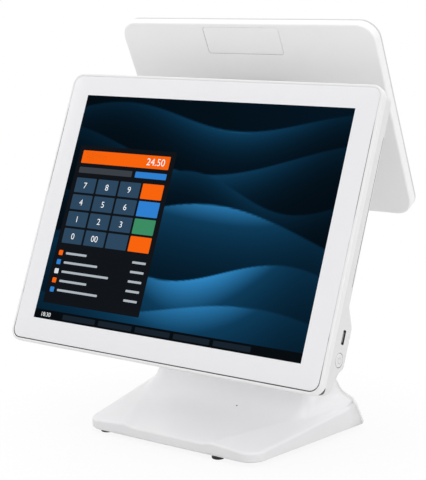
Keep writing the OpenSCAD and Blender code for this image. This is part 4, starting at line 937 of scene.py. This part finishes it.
def drawnIn(grid):
    # both edge columns move in by half the seam's width, so that a fine gap parts the two shells
    mostShare = 0.4      # of the way to the next column
    edge, inner = grid[:, [0, -1]], grid[:, [1, -2]]
    step = np.maximum(np.linalg.norm(inner - edge, axis=2, keepdims=True), tiny)
    grid[:, [0, -1]] = edge + (inner - edge) * np.minimum(foot["seam"] / 2 / step, mostShare)
    return grid * mm


baseGrid, coverGrid = standGrids()
base = newObject("stand_shell", (baseGrid.reshape(-1, 3), gridFaces(*baseGrid.shape[:2], False)),
                 "standWhite", foot["crease"])
coverFaces = np.array(gridFaces(*coverGrid.shape[:2], False))
middle = coverGrid.reshape(-1, 3)[coverFaces].mean(1) / mm
notch = (np.abs(middle[:, 0]) < outlet["half"]) & (middle[:, 2] < outlet["top"])
back = newObject("stand_rear_cover", (coverGrid.reshape(-1, 3), coverFaces[~notch].tolist()),
                 "standWhite", foot["crease"])
for piece, node in ((base, "base_shell"), (back, "rear_cover")):
    thicken(piece, foot["wall"])
    settle(piece, "stand", "white_plastic", node)

# Status lens: a small dark dome on the fillet in front of the neck
statusLens = {"x": 20.5, "back": 9.5, "radius": 0.9, "rise": 0.25, "sunk": 0.3, "turn": 88}


def lensShape(s):
    # circles that shrink as they rise along the fillet's own normal
    centre, topUp = filletCentre()
    turn = math.asin(s["back"] / neck["fillet"])
    c, t = math.cos(turn), math.sin(turn)
    normal = np.array([topUp[0] * c - topUp[1] * t, topUp[0] * t + topUp[1] * c])
    along = np.array([normal[1], -normal[0]])
    spot = centre - normal * neck["fillet"]
    a = fullTurn(24)
    k = np.radians(np.linspace(0, s["turn"], 6))
    radius = np.concatenate([[s["radius"]], s["radius"] * np.cos(k)])[:, None]
    lift = np.concatenate([[-s["sunk"]], s["rise"] * np.sin(k)])[:, None, None]
    yz = spot + along * (radius * np.sin(a))[..., None] + normal * lift
    return loft(sideBySide(s["x"] + radius * np.cos(a), yz[..., 0], yz[..., 1]) * mm)


addPiece("status_lens_dome", lensShape(statusLens), "black", "stand", "black_plastic", "status_lens")

# Rubber feet: low pucks with a rounded lower edge
rubberFeet = {"places": [(-81, -87), (53, -91), (-96, 52), (96, 52)], "radius": 6.0, "top": 5.2,
              "edge": 1.0, "draft": 0.3}


def puckShape(s):
    # a profile of (radius, z) turned about each place
    edge = quarter(s["radius"] - s["edge"], s["edge"], s["edge"], 270)
    top = [(s["radius"] - s["draft"], s["top"]), (axisGap, s["top"])]
    profile = np.concatenate([[(axisGap, 0.0)], edge, top])
    a = fullTurn(40)
    x, y = profile[:, :1] * np.cos(a), profile[:, :1] * np.sin(a)
    return joined([loft(sideBySide(x + px, y + py, profile[:, 1:]) * mm) for px, py in s["places"]])


addPiece("foot_pads", puckShape(rubberFeet), "rubber", "stand", "rubber", "rubber_feet")
print("stand done")

# CAD nodes that still show take the finish of their slot in the record
for part in frame["record"]["subparts"]:
    for slot in frame["nodes"][part["node"]].material_slots:
        slot.material = finish[slotFinish[part["material_slot"]]]

# Camera at the photograph's place, found from the edges of the screen and the foot
camera = {"place": (0.72719, -1.06245, 0.40867), "turn": 34.99, "dip": 9.9, "lens": 101.32,
          "sensor": 36}
cameraData = bpy.data.cameras.new("camera")
cameraData.lens = camera["lens"]
cameraData.sensor_width = camera["sensor"]
cameraObject = bpy.data.objects.new("camera", cameraData)
cameraObject.location = camera["place"]
cameraObject.rotation_euler = (math.radians(90 - camera["dip"]), 0, math.radians(camera["turn"]))
scene.collection.objects.link(cameraObject)
scene.camera = cameraObject

# Soft studio light: a panel on each side, a shadowless fill from high above and an even surround.
# A lamp is (name, place, size, watts, whether it throws shadows).
lamps = [("left", (-1.9, -0.5, 0.9), 1.2, 7, True), ("right", (2.0, -0.5, 0.45), 1.0, 7.5, True),
         ("fill", (0.1, 0.0, 4.0), 0.2, 39, False)]
lampAim = np.array([0, 0, 0.2])
surround = {"strength": 0.81}
for name, place, size, power, shades in lamps:
    lampData = bpy.data.lights.new(name, "AREA")
    lampData.size = size
    lampData.energy = power
    lampData.use_shadow = shades
    lamp = bpy.data.objects.new(name, lampData)
    lamp.location = place
    aim = lampAim - np.array(place)
    tip, turn = math.acos(-aim[2] / np.linalg.norm(aim)), math.atan2(aim[1], aim[0]) - math.pi / 2
    lamp.rotation_euler = (tip, 0, turn)
    scene.collection.objects.link(lamp)


def seenRays(tree):
    # 1 for rays that the camera, a gloss or glass sees, and 0 for those that only light the object
    path = addNode(tree, "LightPath", {})
    seen = path["Is Camera Ray"]
    for kind in ("Is Glossy Ray", "Is Transmission Ray"):
        seen = addNode(tree, "Math", {0: seen, 1: path[kind]}, operation="MAXIMUM")[0]
    return seen


world = bpy.data.worlds.new("surround")
scene.world = world
world.use_nodes = True
skyTree = world.node_tree
skyTree.nodes.clear()
level = addNode(skyTree, "MapRange", {"Value": seenRays(skyTree), "To Min": surround["strength"]})
sky = addNode(skyTree, "Background", {"Color": (1, 1, 1, 1), "Strength": level[0]})
addNode(skyTree, "OutputWorld", {"Surface": sky[0]})

# Floor: pale, and white to the camera away from the object; near it the shadow stays
floorLook = {"size": 6.0, "colour": "#E2E2E2", "shadow": 0.16, "near": 0.1, "far": 0.26}
corners = np.array([(-1, -1, 0), (1, -1, 0), (1, 1, 0), (-1, 1, 0)], float) * floorLook["size"]
floorMaterial, tree, coords = newMaterial("pale_floor")
far = addNode(tree, "VectorMath", {0: coords}, operation="LENGTH")
fade = addNode(tree, "MapRange", {"Value": far["Value"], "From Min": floorLook["near"],
                                  "From Max": floorLook["far"], "To Min": 1 - floorLook["shadow"]})
shown = addNode(tree, "Math", {0: seenRays(tree), 1: fade[0]}, operation="MULTIPLY")
pale = addNode(tree, "BsdfDiffuse", {"Color": floorLook["colour"]})
white = addNode(tree, "Emission", {"Color": (1, 1, 1, 1), "Strength": 1.0})
finish["floor"] = closed(floorMaterial, addNode(tree, "MixShader", {0: shown[0], 1: pale[0], 2: white[0]}))
floor = newObject("floor", (corners, [[0, 1, 2, 3]]), "floor")

scene.view_settings.view_transform = "Standard"
